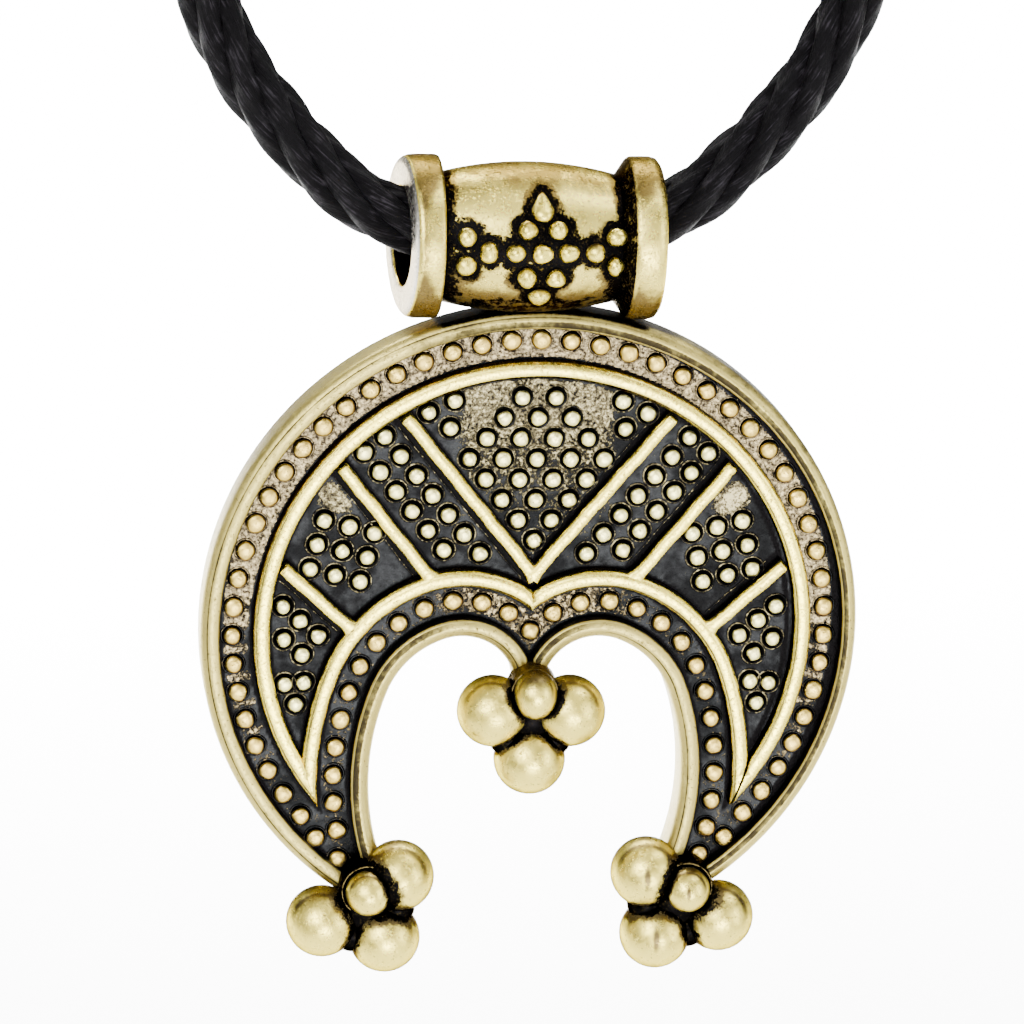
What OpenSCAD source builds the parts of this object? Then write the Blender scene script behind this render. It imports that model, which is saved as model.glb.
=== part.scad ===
// Crescent moon pendant with a barrel bail, on a closed black cord.
// Millimetres, +Z up. The origin is the inner top of the cord's loop, where a neck or a
// hook carries it. The crescent hangs below and faces -Y.

/* [Crescent] */
// Outer radius of the crescent
moon_r = 18.75; // [17:0.05:21]
// Thickness of the back plate under the relief
plate_t = 1.75; // [1.2:0.05:2.5]
// Height of the rims, ribs and spokes above the plate
relief_h = 0.85; // [0.5:0.05:1.1]
// Width of the outer rim
rim_w = 1.1; // [0.8:0.05:1.2]
// Width of the beaded channel inside the rim
channel_w = 1.85; // [1.7:0.05:2]
// Width of the rib inside the channel
rib_w = 1; // [0.6:0.05:1.1]
// Width of a straight spoke
spoke_w = 0.65; // [0.4:0.05:0.8]
// How far the crescent sits to the right of the bail's middle
moon_shift = 1.05; // [-1:0.05:1.5]

/* [Beads] */
// Diameter of a bead in the channels
channel_bead_d = 1.05; // [0.8:0.05:1.15]
// Diameter of a bead in the panels
panel_bead_d = 0.88; // [0.6:0.02:0.96]
// Angle between the beads of the outer channel
ring_step = 5.69; // [5.6:0.01:5.75]
// Distance between the beads of the inner channel
arch_step = 1.67; // [1.6:0.01:1.7]
// Distance between the beads of the side panels
grid_step = 1.47; // [1.35:0.01:1.5]

/* [Ball clusters] */
// Diameter of a large ball
ball_d = 4.1; // [3.8:0.05:4.3]
// Diameter of the small ball in front
small_ball_d = 2.45; // [2.1:0.05:2.7]

/* [Bail] */
// Length of the barrel with its two flanges
bail_len = 14.9; // [14:0.1:18]
// Diameter of the barrel at its middle
barrel_d = 8.4; // [8:0.1:8.8]
// Diameter of the barrel at its flanges
barrel_end_d = 6.9; // [6.6:0.1:7.6]
// Diameter of a flange
flange_d = 9.1; // [8.8:0.05:9.3]
// Thickness of the left and of the right flange
flange_t = [2.6, 2.15]; // [1.4:0.05:2.8]
// Diameter of the bore for the cord
bore_d = 5.4; // [5.1:0.05:5.6]

/* [Cord] */
// Diameter of the cord
cord_d = 3.5; // [3:0.1:3.6]
// Length of the closing barrel behind the neck
clasp_len = 24; // [20:0.5:26]
// Diameter of the closing barrel
clasp_d = 4.8; // [4.5:0.1:5.5]

/* [Hidden] */
$fn = 64;
gold = "#c9b27c";
black = "#26242a";

// Levels across the thickness: the back, the floor of the relief and its top
back_y = 1;
floor_y = back_y - plate_t;
top_y = floor_y - relief_h;
// Height of the bail's axis, and of the crescent's centre below it
bail_z = -165;
moon_drop = 22.6;

// The notch: three tangent arcs on each side of a middle finger, given from the first
// arc's centre. An outline set in by d has the same centres and radii longer by d.
arch_x = 3.9;
arch_z = -3.4;
arch_r = [3.1, 5.2, 15];
arch_turn = [70, 20, -36];
finger_end = -5.2;
arc_steps = [9, 6, 5];
// The horns end on a line at this distance from the centre, square to this direction
horn_end = 7;
horn_dir = -120;

// Edges of the bands, set in from the outline
channel_in = rim_w;
rib_out = rim_w + channel_w;
rib_in = rib_out + rib_w;

// A spoke: its inner end and its outer end, on the right side
spokes = [
    [[-0.4, 2.9], [7.9, 13]],
    [[5.85, 3.2], [11.45, 10.15]],
    [[10.35, 0.3], [14.6, 4.15]],
];
// Beads by hand in the upper corners of the middle panel and in the horn, right side
corner_beads = [[4.75, 13.4], [6.2, 12.7], [4.95, 11.8]];
horn_beads = [[14.1, 1.4], [13.1, 0.55], [12.05, -0.35], [14, -0.55], [12.95, -1.45],
              [13.9, -3.2], [12.8, -3.1], [13.25, -4.4]];
// The middle panel's diamond: beads in each row, top row first, and the rows' places
diamond_rows = [2, 3, 4, 5, 4, 3, 2, 1];
diamond_top = 13.6;
diamond_step = [1.91, 1.19];
// Two rows beside the spokes: distance across, distance along of the first, and count
slope = 39.3;
slope_rows = [[-0.5, 5.4, 7], [0.97, 6.87, 6]];
// A square block of beads in the next panel: its middle, its tilt and its side count
block_at = [10.83, 4.65];
block_tilt = 14.5;
block_n = 3;
ring_r = moon_r - channel_in - channel_w / 2 + 0.2;
ring_n = 25;
arch_n = 13;
bead_lift = 0.2;

// A cluster: place of the two side balls' middle, tilt of its axis, half spread of the
// side balls, distance of the low ball, and place of the small ball across and along
clusters = [
    [[0, -4.85], 0, 2.06, 2.5, [0.1, 1.1]],
    [[9.4, -15.95], 32, 2.55, 2.65, [-0.5, 0.65]],
    [[-9.4, -15.95], -32, 2.55, 2.65, [0.5, 0.65]],
];
ball_y = -1.8;
small_ball_y = -3.1;
// The web between the balls and the stem under the small ball: diameter, front and back
web = [4.4, -1.3, 0.8];
stem = [2.9, -2.3, 0];

// Beads on the bail: distance along the barrel from the pattern's middle, which sits to the
// right of the barrel's middle, and height from its axis
pattern_shift = 0.45;
bail_beads = [[0, 0], [1.47, 0], [-1.47, 0], [2.94, 0], [-2.94, 0], [4.15, 0.8],
              [4.15, -0.8], [-4.15, 0.8], [-4.15, -0.8], [0.82, 1.25], [-0.82, 1.25],
              [0.8, -1.4], [-0.8, -1.4], [0, -2.55]];
// The drop above the beads, from its body to its tip: height and diameter
drop = [[2.3, 1.15], [2.85, 0.75], [3.2, 0.45]];
bead_out = 0.1;
flange_round = 0.5;
bore_flare = 0.7;
barrel_steps = 10;

// Route of the cord's right half from the bail's axis up into the clasp: across and up
half_route = [[3.5, 0.15], [6.8, 0.9], [9.6, 2.4], [12.2, 4.7], [14.6, 7.5], [16.7, 10.8],
              [18.5, 15], [21.5, 22.5], [27, 35.5], [33.5, 49.5], [42, 68], [50.5, 86.5],
              [57, 104.5], [59.5, 119], [58.5, 133], [53, 145.5], [43, 156], [28, 164.4],
              [11, 167.4]];
route = concat([for (i = [len(half_route) - 1:-1:0]) [-half_route[i].x, half_route[i].y]],
               [[0, 0]], half_route);
ring_split = 2;
ring_sides = 8;
clasp_round = 0.8;

// Angle at which the first arc, set in by d, meets the middle line
function arch_from(d) = arch_r[0] + d > arch_x ? acos(-arch_x / (arch_r[0] + d)) : 180;
// Unit vector at an angle
function dir(a) = [cos(a), sin(a)];
// Centres of the three tangent arcs
function arch_centre(i) = i == 0 ? [arch_x, arch_z]
    : arch_centre(i - 1) + (arch_r[i - 1] - arch_r[i]) * dir(arch_turn[i - 1]);
// Point on arc i set in by d, at angle a
function arch_point(i, d, a) = arch_centre(i) + (arch_r[i] + d) * dir(a);
function arch_begin(i, d) = i == 0 ? arch_from(d) : arch_turn[i - 1];
// Length of arc i set in by d
function arch_len(i, d) = (arch_r[i] + d) * (arch_begin(i, d) - arch_turn[i]) * PI / 180;
// Point at distance s from the middle line along the arcs set in by d
function along_arch(d, s, i = 0) = i < 2 && s > arch_len(i, d)
    ? along_arch(d, s - arch_len(i, d), i + 1)
    : arch_point(i, d, arch_begin(i, d) - s / (arch_r[i] + d) * 180 / PI);
// Right half of the notch's edge, set in by d
function notch_side(d) = concat(
    arch_r[0] + d > arch_x ? [] : [[arch_x - arch_r[0] - d, finger_end]],
    [for (i = [0:2], k = [0:arc_steps[i]])
        if (i == 0 || k > 0)
            arch_point(i, d, arch_begin(i, d) + (arch_turn[i] - arch_begin(i, d)) * k / arc_steps[i])]);
function flip(points) = [for (i = [len(points) - 1:-1:0]) [-points[i].x, points[i].y]];
function both_sides(points) = concat(points, [for (p = points) [-p.x, p.y]]);

// The crescent's outline set in by d, its horns cut off at distance cut
module crescent(d, cut = horn_end) {
    side = notch_side(d);
    low = -2 * moon_r;
    tent = cut / sin(-horn_dir);
    slant = tan(90 + horn_dir) * -1;
    difference() {
        circle(moon_r - d);
        polygon(concat([[-side[len(side) - 1].x, low]], flip(side),
                       side[0].x < 0.01 ? [for (i = [1:len(side) - 1]) side[i]] : side,
                       [[side[len(side) - 1].x, low]]));
        polygon([[0, -tent], [moon_r, -tent - slant * moon_r], [moon_r, low],
                 [-moon_r, low], [-moon_r, -tent - slant * moon_r]]);
    }
}

// A straight spoke from a to b
module spoke(a, b) {
    run = b - a;
    translate(a) rotate(atan2(run.y, run.x)) translate([0, -spoke_w / 2])
        square([norm(run), spoke_w]);
}

// What stands above the plate: the rim, the rib and the spokes
module relief() {
    difference() {
        crescent(0);
        crescent(channel_in, 2 * horn_end);
    }
    difference() {
        crescent(rib_out, 2 * horn_end);
        crescent(rib_in, 2 * horn_end);
    }
    intersection() {
        crescent(rib_out + rib_w / 2, 2 * horn_end);
        for (s = spokes) {
            spoke(s[0], s[1]);
            mirror([1, 0]) spoke(s[0], s[1]);
        }
    }
}

// Stands a flat drawing up in the XZ plane, from depth a back to depth b
module stand(a, b) {
    translate([0, b, 0]) rotate([90, 0, 0]) linear_extrude(b - a) children();
}

// A bead on the floor of the relief
module bead(p, d) {
    translate([p.x, floor_y - bead_lift, p.y]) sphere(d = d);
}

// Two straight rows and the square block, right side
function slope_row(row) = [for (k = [0:row[2] - 1])
    row[0] * dir(-slope) + (row[1] + k * grid_step) * dir(90 - slope)];
function block() = [for (i = [0:block_n - 1], k = [0:block_n - 1])
    block_at + (i - (block_n - 1) / 2) * grid_step * dir(block_tilt)
             + (k - (block_n - 1) / 2) * grid_step * dir(90 + block_tilt)];
function diamond() = [for (r = [0:len(diamond_rows) - 1], k = [0:diamond_rows[r] - 1])
    [(k - (diamond_rows[r] - 1) / 2) * diamond_step.x, diamond_top - r * diamond_step.y]];

module beads() {
    panel = concat(diamond(), both_sides(concat(corner_beads, horn_beads, block(),
                                                slope_row(slope_rows[0]), slope_row(slope_rows[1]))));
    for (p = panel) bead(p, panel_bead_d);
    for (k = [-ring_n:ring_n]) bead(ring_r * dir(90 - k * ring_step), channel_bead_d);
    mid = channel_in + channel_w / 2;
    bead(along_arch(mid, 0), channel_bead_d);
    for (p = both_sides([for (k = [1:arch_n]) along_arch(mid, k * arch_step)]))
        bead(p, channel_bead_d);
}

// Three large balls on a web, with a small ball in front
module cluster(at, tilt, spread, low, small) {
    translate([at.x, 0, at.y]) rotate([0, tilt, 0]) {
        for (p = [[spread, 0], [-spread, 0], [0, -low]])
            translate([p.x, ball_y, p.y]) sphere(d = ball_d);
        translate([small.x, small_ball_y, small.y]) sphere(d = small_ball_d);
        stand(web[1], web[2]) circle(d = web[0]);
        translate([small.x, 0, small.y]) stand(stem[1], stem[2]) circle(d = stem[0]);
    }
}

// Radius of the barrel at distance x from its middle
function barrel_radius(x) =
    barrel_d / 2 - (barrel_d - barrel_end_d) / 2 * pow(x / (bail_len / 2 - flange_t[1]), 2);

// Half of the bail's outer profile from the middle to an end whose flange has thickness t:
// distance along, radius
function bail_side(t) = let (inner = bail_len / 2 - t, r = flange_d / 2) concat(
    [for (k = [0:barrel_steps / 2]) let (x = inner * k / (barrel_steps / 2)) [x, barrel_radius(x)]],
    [[inner, r - flange_round], [inner + flange_round, r],
     [bail_len / 2 - flange_round, r], [bail_len / 2, r - flange_round],
     [bail_len / 2, bore_d / 2 + bore_flare], [bail_len / 2 - bore_flare, bore_d / 2]]);

// A bead on the barrel's surface
module bail_bead(p, d) {
    translate([p.x, -sqrt(pow(barrel_radius(p.x), 2) - p.y * p.y) - bead_out, p.y]) sphere(d = d);
}

// The barrel bail along X, with its bore open at both ends
module bail() {
    left = bail_side(flange_t[0]);
    profile = concat(bail_side(flange_t[1]),
                     [for (i = [len(left) - 1:-1:1]) [-left[i].x, left[i].y]]);
    rotate([0, 90, 0]) rotate_extrude() polygon([for (p = profile) [p.y, p.x]]);
    for (b = bail_beads) bail_bead([b.x + pattern_shift, b.y], channel_bead_d);
    for (part = drop) bail_bead([pattern_shift, part[0]], part[1]);
}

module pendant() color(gold) translate([0, 0, bail_z]) {
    bail();
    translate([moon_shift, 0, -moon_drop]) {
        stand(floor_y, back_y) crescent(0, horn_end + 1);
        stand(top_y, floor_y + plate_t / 2) relief();
        beads();
        for (c = clusters) cluster(c[0], c[1], c[2], c[3], c[4]);
    }
}

// Catmull-Rom point between b and c
function between(a, b, c, d, t) = 0.5 * (2 * b + (c - a) * t
    + (2 * a - 5 * b + 4 * c - d) * t * t + (3 * b - a - 3 * c + d) * t * t * t);
function route_at(i) = i < 0 ? 2 * route[0] - route[1]
    : i >= len(route) ? 2 * route[len(route) - 1] - route[len(route) - 2] : route[i];
function line() = concat([for (i = [0:len(route) - 2], k = [0:ring_split - 1])
    between(route_at(i - 1), route_at(i), route_at(i + 1), route_at(i + 2), k / ring_split)],
    [route[len(route) - 1]]);

// A tube with ring_sides sides along a line of points in the XZ plane
module tube(points, d) {
    last = len(points) - 1;
    rings = [for (i = [0:last])
        let (run = points[min(i + 1, last)] - points[max(i - 1, 0)], t = run / norm(run))
        for (k = [0:ring_sides - 1])
            let (a = 360 * (k + 0.5) / ring_sides)
            [points[i].x - t.y * cos(a) * d / 2, sin(a) * d / 2, points[i].y + t.x * cos(a) * d / 2]];
    n = ring_sides;
    polyhedron(rings, concat(
        [[for (k = [0:n - 1]) k]],
        [for (i = [0:last - 1], k = [0:n - 1])
            [i * n + k, (i + 1) * n + k, (i + 1) * n + (k + 1) % n, i * n + (k + 1) % n]],
        [[for (k = [n - 1:-1:0]) last * n + k]]));
}

module cord() color(black) translate([0, 0, bail_z]) tube(line(), cord_d);

// A plain barrel that closes the loop
module clasp() {
    r = clasp_d / 2;
    h = clasp_len / 2;
    c = clasp_round;
    color(gold) translate([0, 0, r]) rotate([0, 90, 0]) rotate_extrude()
        polygon([[0, -h], [r - c, -h], [r, -h + c], [r, h - c], [r - c, h], [0, h]]);
}

pendant();
cord();
clasp();
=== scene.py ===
"""Crescent moon pendant with a barrel bail on a twisted black cord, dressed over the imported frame."""
import math

import bmesh
import bpy
import numpy as np
from mathutils import Matrix, Vector


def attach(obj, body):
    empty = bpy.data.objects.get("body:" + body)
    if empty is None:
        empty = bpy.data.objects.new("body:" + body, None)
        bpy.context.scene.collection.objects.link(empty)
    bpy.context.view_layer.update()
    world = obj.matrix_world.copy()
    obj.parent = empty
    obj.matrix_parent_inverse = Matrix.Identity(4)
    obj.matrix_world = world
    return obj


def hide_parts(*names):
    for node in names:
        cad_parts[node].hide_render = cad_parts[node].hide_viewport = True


bl_info = {
    "name": "Crescent Moon Pendant",
    "version": (1, 0, 0),
    "blender": (4, 5, 0),
    "location": "View3D > Sidebar > Pendant",
    "description": "Makes a beaded crescent pendant, its cord and a small studio",
    "category": "Object",
}

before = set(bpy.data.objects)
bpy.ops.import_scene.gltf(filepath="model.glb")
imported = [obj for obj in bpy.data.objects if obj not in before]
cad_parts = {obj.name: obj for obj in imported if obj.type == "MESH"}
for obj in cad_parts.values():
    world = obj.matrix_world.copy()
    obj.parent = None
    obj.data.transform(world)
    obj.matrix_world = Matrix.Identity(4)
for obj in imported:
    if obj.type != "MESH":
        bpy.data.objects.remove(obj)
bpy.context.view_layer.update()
MM = 0.001

# Farther away than anything here, in millimetres
FAR = 99.0
# Random phases are drawn from zero up to this angle
PHASES = 6.3

# Where the bail's axis and the crescent's centre are, in millimetres
BAIL_Z = -165.0
MOON_DROP = 22.6
MOON_SHIFT = 1.05
BACK_Y = 1.0
FLOOR_Y = -0.75
FOOT_Y = FLOOR_Y + 0.03
TOP_Y = -1.6

# Spacing of the stations on the outer edge, in degrees, and on the notch, and of the floor's grid
OUTER_STEP = 0.9
NOTCH_STEP = 0.16
FLOOR_STEP = 0.15
# The floor starts this far in from the edges and stops this far down each horn
FLOOR_INSET = 0.5
FLOOR_STOP = 8.2

# The notch: three tangent arcs on each side of the middle finger
ARCH_X = 3.9
ARCH_Z = -3.4
ARCH_R = (3.1, 5.2, 15.0)
ARCH_TURN = (70.0, 20.0, -36.0)
FINGER_END = -5.2
HORN_STOP = -55.3
NOTCH_END = -16.0

# The spokes of the right half, each from its inner to its outer end
SPOKES = (
    ((-0.4, 2.9), (7.9, 13.0)),
    ((5.85, 3.2), (11.45, 10.15)),
    ((10.35, 0.3), (14.6, 4.15)),
)
# Beads of the panels: some by the middle panel's corners and some in the horns, the middle panel's
# rows, two sloping rows beside it and a tilted block of nine in each side panel
CORNER_BEADS = ((4.75, 13.4), (6.2, 12.7), (4.95, 11.8))
HORN_BEADS = ((14.1, 1.4), (13.1, 0.55), (12.05, -0.35), (14.0, -0.55), (12.95, -1.45),
              (13.9, -3.2), (12.8, -3.1), (13.25, -4.4))
DIAMOND_ROWS = (2, 3, 4, 5, 4, 3, 2, 1)
DIAMOND_TOP = 13.6
DIAMOND_STEP = (1.91, 1.19)
SLOPE = 39.3
SLOPE_ROWS = ((-0.5, 5.4, 7), (0.97, 6.87, 6))
BLOCK_AT = (10.83, 4.65)
BLOCK_TILT = 14.5
# The outer channel's ring of beads and how many follow its middle one, and those of the inner channel
RING_R = 16.925
RING_N = 25
ARCH_N = 13
# The last beads of the outer channel lie a little off its even ring
HORN_NUDGES = {0: (-0.24, -0.32), 1: (-0.28, -0.12), -2: (0.13, -0.27), -1: (0.0, -0.2)}

# A cluster of balls: its middle and tilt, how far out its side balls and its low ball lie, where the
# small ball lies, how far black reaches from where balls meet, the size of its web with the radius
# and the bareness of the small ball's collar, whether that ball is an egg, and which are smudged
CLUSTERS = {
    "finger_balls": {"at": (0.1, -4.5), "tilt": 0.0, "spread": 2.2, "low": 2.85,
                     "front": (0.03, 1.35), "reach": 0.9, "web": (0.7, 1.42, 0.6), "egg": True,
                     "smudged": ()},
    "right_horn_balls": {"at": (9.3, -15.65), "tilt": 32.0, "spread": 2.55, "low": 2.8,
                         "front": (-0.3, 0.65), "reach": 1.5, "web": (0.86, 1.59, 0.0),
                         "egg": False, "smudged": (1, 2, 3)},
    "left_horn_balls": {"at": (-9.35, -15.75), "tilt": -32.0, "spread": 2.55, "low": 2.75,
                        "front": (0.69, 0.48), "reach": 1.5, "web": (0.86, 1.59, 0.0),
                        "egg": False, "smudged": ()},
}
# The egg's stretch, and how far in front of the crescent's middle plane the balls lie
EGG = (0.95, 1, 1.1)
BALL_Y = -1.8
SMALL_BALL_Y = -3.1
# Radius of the black filling behind two touching balls
FILLING = 1.05

# The outer rib lies this much further out at the ring's right side
RIB_SHIFT = 0.3
# The outer rim is narrower by this part of its width there
RIM_SLIM = 0.2

# A bead's collar lies this far above its middle
COLLAR_LIFT = 0.02

# Width of the black shadow painted on the floor beside the left-looking side of each spoke, and how far
# out the thin ridges stand on both sides
SPOKE_SHADOW = 0.26

# The worn oval patch of each side panel: its middle, the way it runs and half its length and width
PATCH_AT = (11.35, 7.75)
PATCH_RUN = (0.79, 0.62)
PATCH_HALF = (1.3, 0.85)

# How far the front of the bail's left end is drawn back, and how far in its flange that starts
END_LEAN = 1.0
LEAN_START = 1.1
# Widths of the bail's two flanges
LEFT_FLANGE = 2.6
RIGHT_FLANGE = 2.15

# Beads on the bail: along the barrel from the pattern's middle, and up from its axis
PATTERN_SHIFT = 0.45
BAIL_BEADS = ((0, 0), (1.47, 0), (-1.47, 0), (2.94, 0), (-2.94, 0), (4.15, 0.8), (4.15, -0.8),
              (-4.15, 0.8), (-4.15, -0.8), (0.82, 1.25), (-0.82, 1.25), (0.8, -1.4), (-0.8, -1.4),
              (0, -2.55))
# The drop above them: its middle, tip and half width
DROP = (2.3, 3.2, 0.64)

# Yarns in a strand of the cord, its points' spacing near the bail and beyond, and its place
YARNS = 5
FINE_STEP = 0.32
FINE_REACH = 34.0
COARSE_STEP = 0.8
CORD_SHIFT = -0.15
# Where a strand's middle lies and how big it is, as parts of the cord's radius
STRAND_AT = 0.58
STRAND_SIZE = 0.405

# Right half of the cord's route from the bail's axis up into the clasp: across and up
HALF_ROUTE = ((3.5, 0.15), (6.8, 0.9), (9.6, 2.4), (12.2, 4.7), (14.6, 7.5), (16.7, 10.8),
              (18.5, 15), (21.5, 22.5), (27, 35.5), (33.5, 49.5), (42, 68), (50.5, 86.5),
              (57, 104.5), (59.5, 119), (58.5, 133), (53, 145.5), (43, 156), (28, 164.4),
              (11, 167.4))

# A pale silver reflection painted on the bail's left end face, and the metal's brown pits and how
# strongly they show
SILVER_REFLECTION = (0.62, 0.60, 0.55)
PIT_BROWN = (0.05, 0.035, 0.015)
PIT_SHARE = 0.7
# The worn floor between its grains, on them, and at its brightest in the panels and the channels
GRAIN_DARK = (0.015, 0.012, 0.008)
PANEL_GRAIN = (0.115, 0.096, 0.051)
PANEL_BRIGHT = (0.45, 0.385, 0.20)
CHANNEL_BRIGHT = (0.55, 0.43, 0.215)
# The painted highlight of the cord's fibres, the studio floor's darker tone and the light from all
# round
FIBRE_HIGHLIGHT = (0.028, 0.025, 0.030)
PAPER_SHADE = (0.8, 0.8, 0.8)
SKY_COLOUR = (1.0, 0.985, 0.96)
# Height of the studio's floor, in metres
PAPER_Z = -0.46


def metres(name, description, default):
    return bpy.props.FloatProperty(name=name, description=description, default=default,
                                   subtype="DISTANCE", unit="LENGTH")


def degrees(name, description, value):
    return bpy.props.FloatProperty(name=name, description=description,
                                   default=math.radians(value), subtype="ANGLE", unit="ROTATION")


def watts(name, description, default):
    return bpy.props.FloatProperty(name=name, description=description, default=default, unit="POWER")


def tint(name, description, default):
    return bpy.props.FloatVectorProperty(name=name, description=description, default=default,
                                         subtype="COLOR")


class PendantSizes(bpy.types.PropertyGroup):
    """Sizes of the metal parts."""
    moon_radius: metres("Crescent radius", "Outer radius of the crescent", 0.01875)
    rim_width: metres("Rim width", "Width of the outer rim", 0.0011)
    channel_width: metres("Channel width", "Width of the beaded channel", 0.00185)
    rib_width: metres("Rib width", "Width of the rib inside the channel", 0.001)
    spoke_width: metres("Spoke width", "Width of a straight spoke", 0.00078)
    channel_bead: metres("Channel bead", "Diameter of a bead in the channels", 0.00105)
    panel_bead: metres("Panel bead", "Diameter of a bead in the panels", 0.00088)
    ring_step: degrees("Ring step", "Angle between the beads of the outer channel", 5.69)
    arch_step: metres("Arch step", "Distance between the beads of the inner channel", 0.00167)
    grid_step: metres("Grid step", "Distance between the beads of the side panels", 0.00147)
    ball: metres("Large ball", "Diameter of a large ball", 0.0041)
    small_ball: metres("Small ball", "Diameter of the small ball in front", 0.0026)
    bail_length: metres("Bail length", "Length of the barrel bail", 0.0149)
    barrel: metres("Barrel", "Diameter of the barrel at its middle", 0.0084)
    barrel_end: metres("Barrel end", "Diameter of the barrel at its flanges", 0.0069)
    flange: metres("Flange", "Diameter of a flange", 0.0091)
    bore: metres("Bore", "Diameter of the bore for the cord", 0.0054)


class CordSizes(bpy.types.PropertyGroup):
    """Sizes of the cord and its closing barrel."""
    diameter: metres("Diameter", "Diameter of the cord", 0.0035)
    strands: bpy.props.IntProperty(
        name="Strands", description="Number of strands twisted together", default=5)
    pitch: metres("Pitch", "Length of one turn of a strand", 0.022)
    yarn_pitch: metres("Yarn pitch", "Length of one turn of the yarns in a strand", 0.009)
    clasp_length: metres("Clasp length", "Length of the closing barrel", 0.024)
    clasp_diameter: metres("Clasp diameter", "Diameter of the closing barrel", 0.0048)


class PendantColours(bpy.types.PropertyGroup):
    """Colours of the metal, the cord and the floor."""
    pale: tint("Pale gold", "Rubbed metal on the high places", (0.96, 0.795, 0.142))
    peach: tint("Peach gold", "Beads of the channels", (0.74, 0.53, 0.12))
    # Brown serves tarnish and also painted shade and dark reflections; black serves patina and also
    # painted shadow
    brown: tint("Brown tarnish", "Tarnished metal", (0.20, 0.145, 0.042))
    black: tint("Black patina", "Patina in the recesses", (0.0022, 0.0020, 0.0021))
    slate: tint("Slate patina", "Thinner patina over the open floor of the panels",
                (0.0175, 0.0182, 0.0188))
    worn: tint("Worn floor", "Sunk floor where the patina has rubbed away", (0.19, 0.15, 0.083))
    cord: tint("Cord", "Waxed black thread", (0.0022, 0.0019, 0.0024))
    floor: tint("Floor", "Pale studio floor", (0.9, 0.9, 0.9))


class StudioSettings(bpy.types.PropertyGroup):
    """Camera and light."""
    azimuth: degrees("Azimuth", "Camera's turn round the object", -7.825)
    elevation: degrees("Elevation", "Camera's height above the horizon", 15.7)
    roll: degrees("Roll", "Camera's turn about its own axis", 2.19)
    distance: metres("Distance", "Camera's distance from its target", 0.26)
    lens: bpy.props.FloatProperty(
        name="Lens", description="Focal length in millimetres", default=161.8, unit="CAMERA")
    target: bpy.props.FloatVectorProperty(
        name="Target", description="Point that the camera looks at",
        default=(-0.00013, 0.0, -0.18090), subtype="XYZ", unit="LENGTH")
    world: bpy.props.FloatProperty(
        name="World light", description="Strength of the surrounding light", default=1.0)
    key: watts("Key light", "Power of the main softbox", 5.5)
    floor_light: watts("Floor light", "Power of the light over the floor behind", 300.0)


def sizes():
    return bpy.context.scene.pendant_sizes


def cord_sizes():
    return bpy.context.scene.cord_sizes


def colours():
    return bpy.context.scene.pendant_colours


def studio():
    return bpy.context.scene.studio_settings


# Shader nodes

class Wire:
    """An output socket that takes part in Python expressions."""

    def __init__(self, finish, socket):
        self.finish = finish
        self.socket = socket

    def math(self, operation, a, b):
        return self.finish.wire("ShaderNodeMath", {"operation": operation}, {0: a, 1: b})

    def __add__(self, other):
        return self.math("ADD", self, other)

    def __sub__(self, other):
        return self.math("SUBTRACT", self, other)

    def __rsub__(self, other):
        return self.math("SUBTRACT", other, self)

    def __mul__(self, other):
        return self.math("MULTIPLY", self, other)

    __radd__ = __add__
    __rmul__ = __mul__


class Finish:
    """The nodes that a material or the world is put together from."""

    def __init__(self, owner):
        owner.use_nodes = True
        owner.node_tree.nodes.clear()
        self.owner = owner
        self.tree = owner.node_tree

    def pick(self, sockets, key):
        """A socket by its number, its identifier or its name."""
        if isinstance(key, int):
            return sockets[key]
        return next(s for s in sockets if s.identifier == key or s.enabled and s.name == key)

    def node(self, kind, settings, sockets):
        """Adds a node, with its settings first, then the values or wires of its inputs."""
        made = self.tree.nodes.new(kind)
        for key, value in settings.items():
            setattr(made, key, value)
        for key, value in sockets.items():
            socket = self.pick(made.inputs, key)
            if isinstance(value, Wire):
                self.tree.links.new(value.socket, socket)
            elif hasattr(socket.default_value, "__len__") and len(socket.default_value) == 4:
                socket.default_value = tuple(value)[:3] + (1.0,)
            else:
                socket.default_value = value
        return made

    def wire(self, kind, settings, sockets, output=0):
        """Adds a node and gives one of its outputs."""
        return Wire(self, self.pick(self.node(kind, settings, sockets).outputs, output))

    def place(self, scale=1000.0):
        """Place on the object, in millimetres unless scale says otherwise."""
        spot = self.wire("ShaderNodeTexCoord", {}, {}, "Object")
        return self.wire("ShaderNodeVectorMath", {"operation": "MULTIPLY"}, {0: spot, 1: [scale] * 3})

    def noise(self, vector, scale, detail=4.0, rough=0.6):
        return self.wire("ShaderNodeTexNoise", {"noise_dimensions": "3D"},
                         {"Vector": vector, "Scale": scale, "Detail": detail, "Roughness": rough},
                         "Fac")

    def step(self, value, low, high):
        return self.wire("ShaderNodeMapRange", {"interpolation_type": "SMOOTHSTEP"},
                         {"Value": value, "From Min": low, "From Max": high}, "Result")

    def spread(self, value, low, high, to_low, to_high):
        return self.wire("ShaderNodeMapRange", {"clamp": True},
                         {"Value": value, "From Min": low, "From Max": high,
                          "To Min": to_low, "To Max": to_high}, "Result")

    def mixed(self, factor, a, b):
        return self.wire("ShaderNodeMix", {"data_type": "RGBA"},
                         {"Factor_Float": factor, "A_Color": a, "B_Color": b}, "Result_Color")

    def attribute(self, name, output="Fac"):
        return self.wire("ShaderNodeAttribute", {"attribute_type": "GEOMETRY", "attribute_name": name},
                         {}, output)

    def bump(self, height, distance):
        return self.wire("ShaderNodeBump", {},
                         {"Height": height, "Distance": distance, "Strength": 1.0}, "Normal")

    def surface(self, **sockets):
        """Puts the main shader on the material and gives the material."""
        names = {key.replace("_", " "): value for key, value in sockets.items()}
        shader = self.wire("ShaderNodeBsdfPrincipled", {}, names, "BSDF")
        self.node("ShaderNodeOutputMaterial", {}, {"Surface": shader})
        return self.owner


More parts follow.
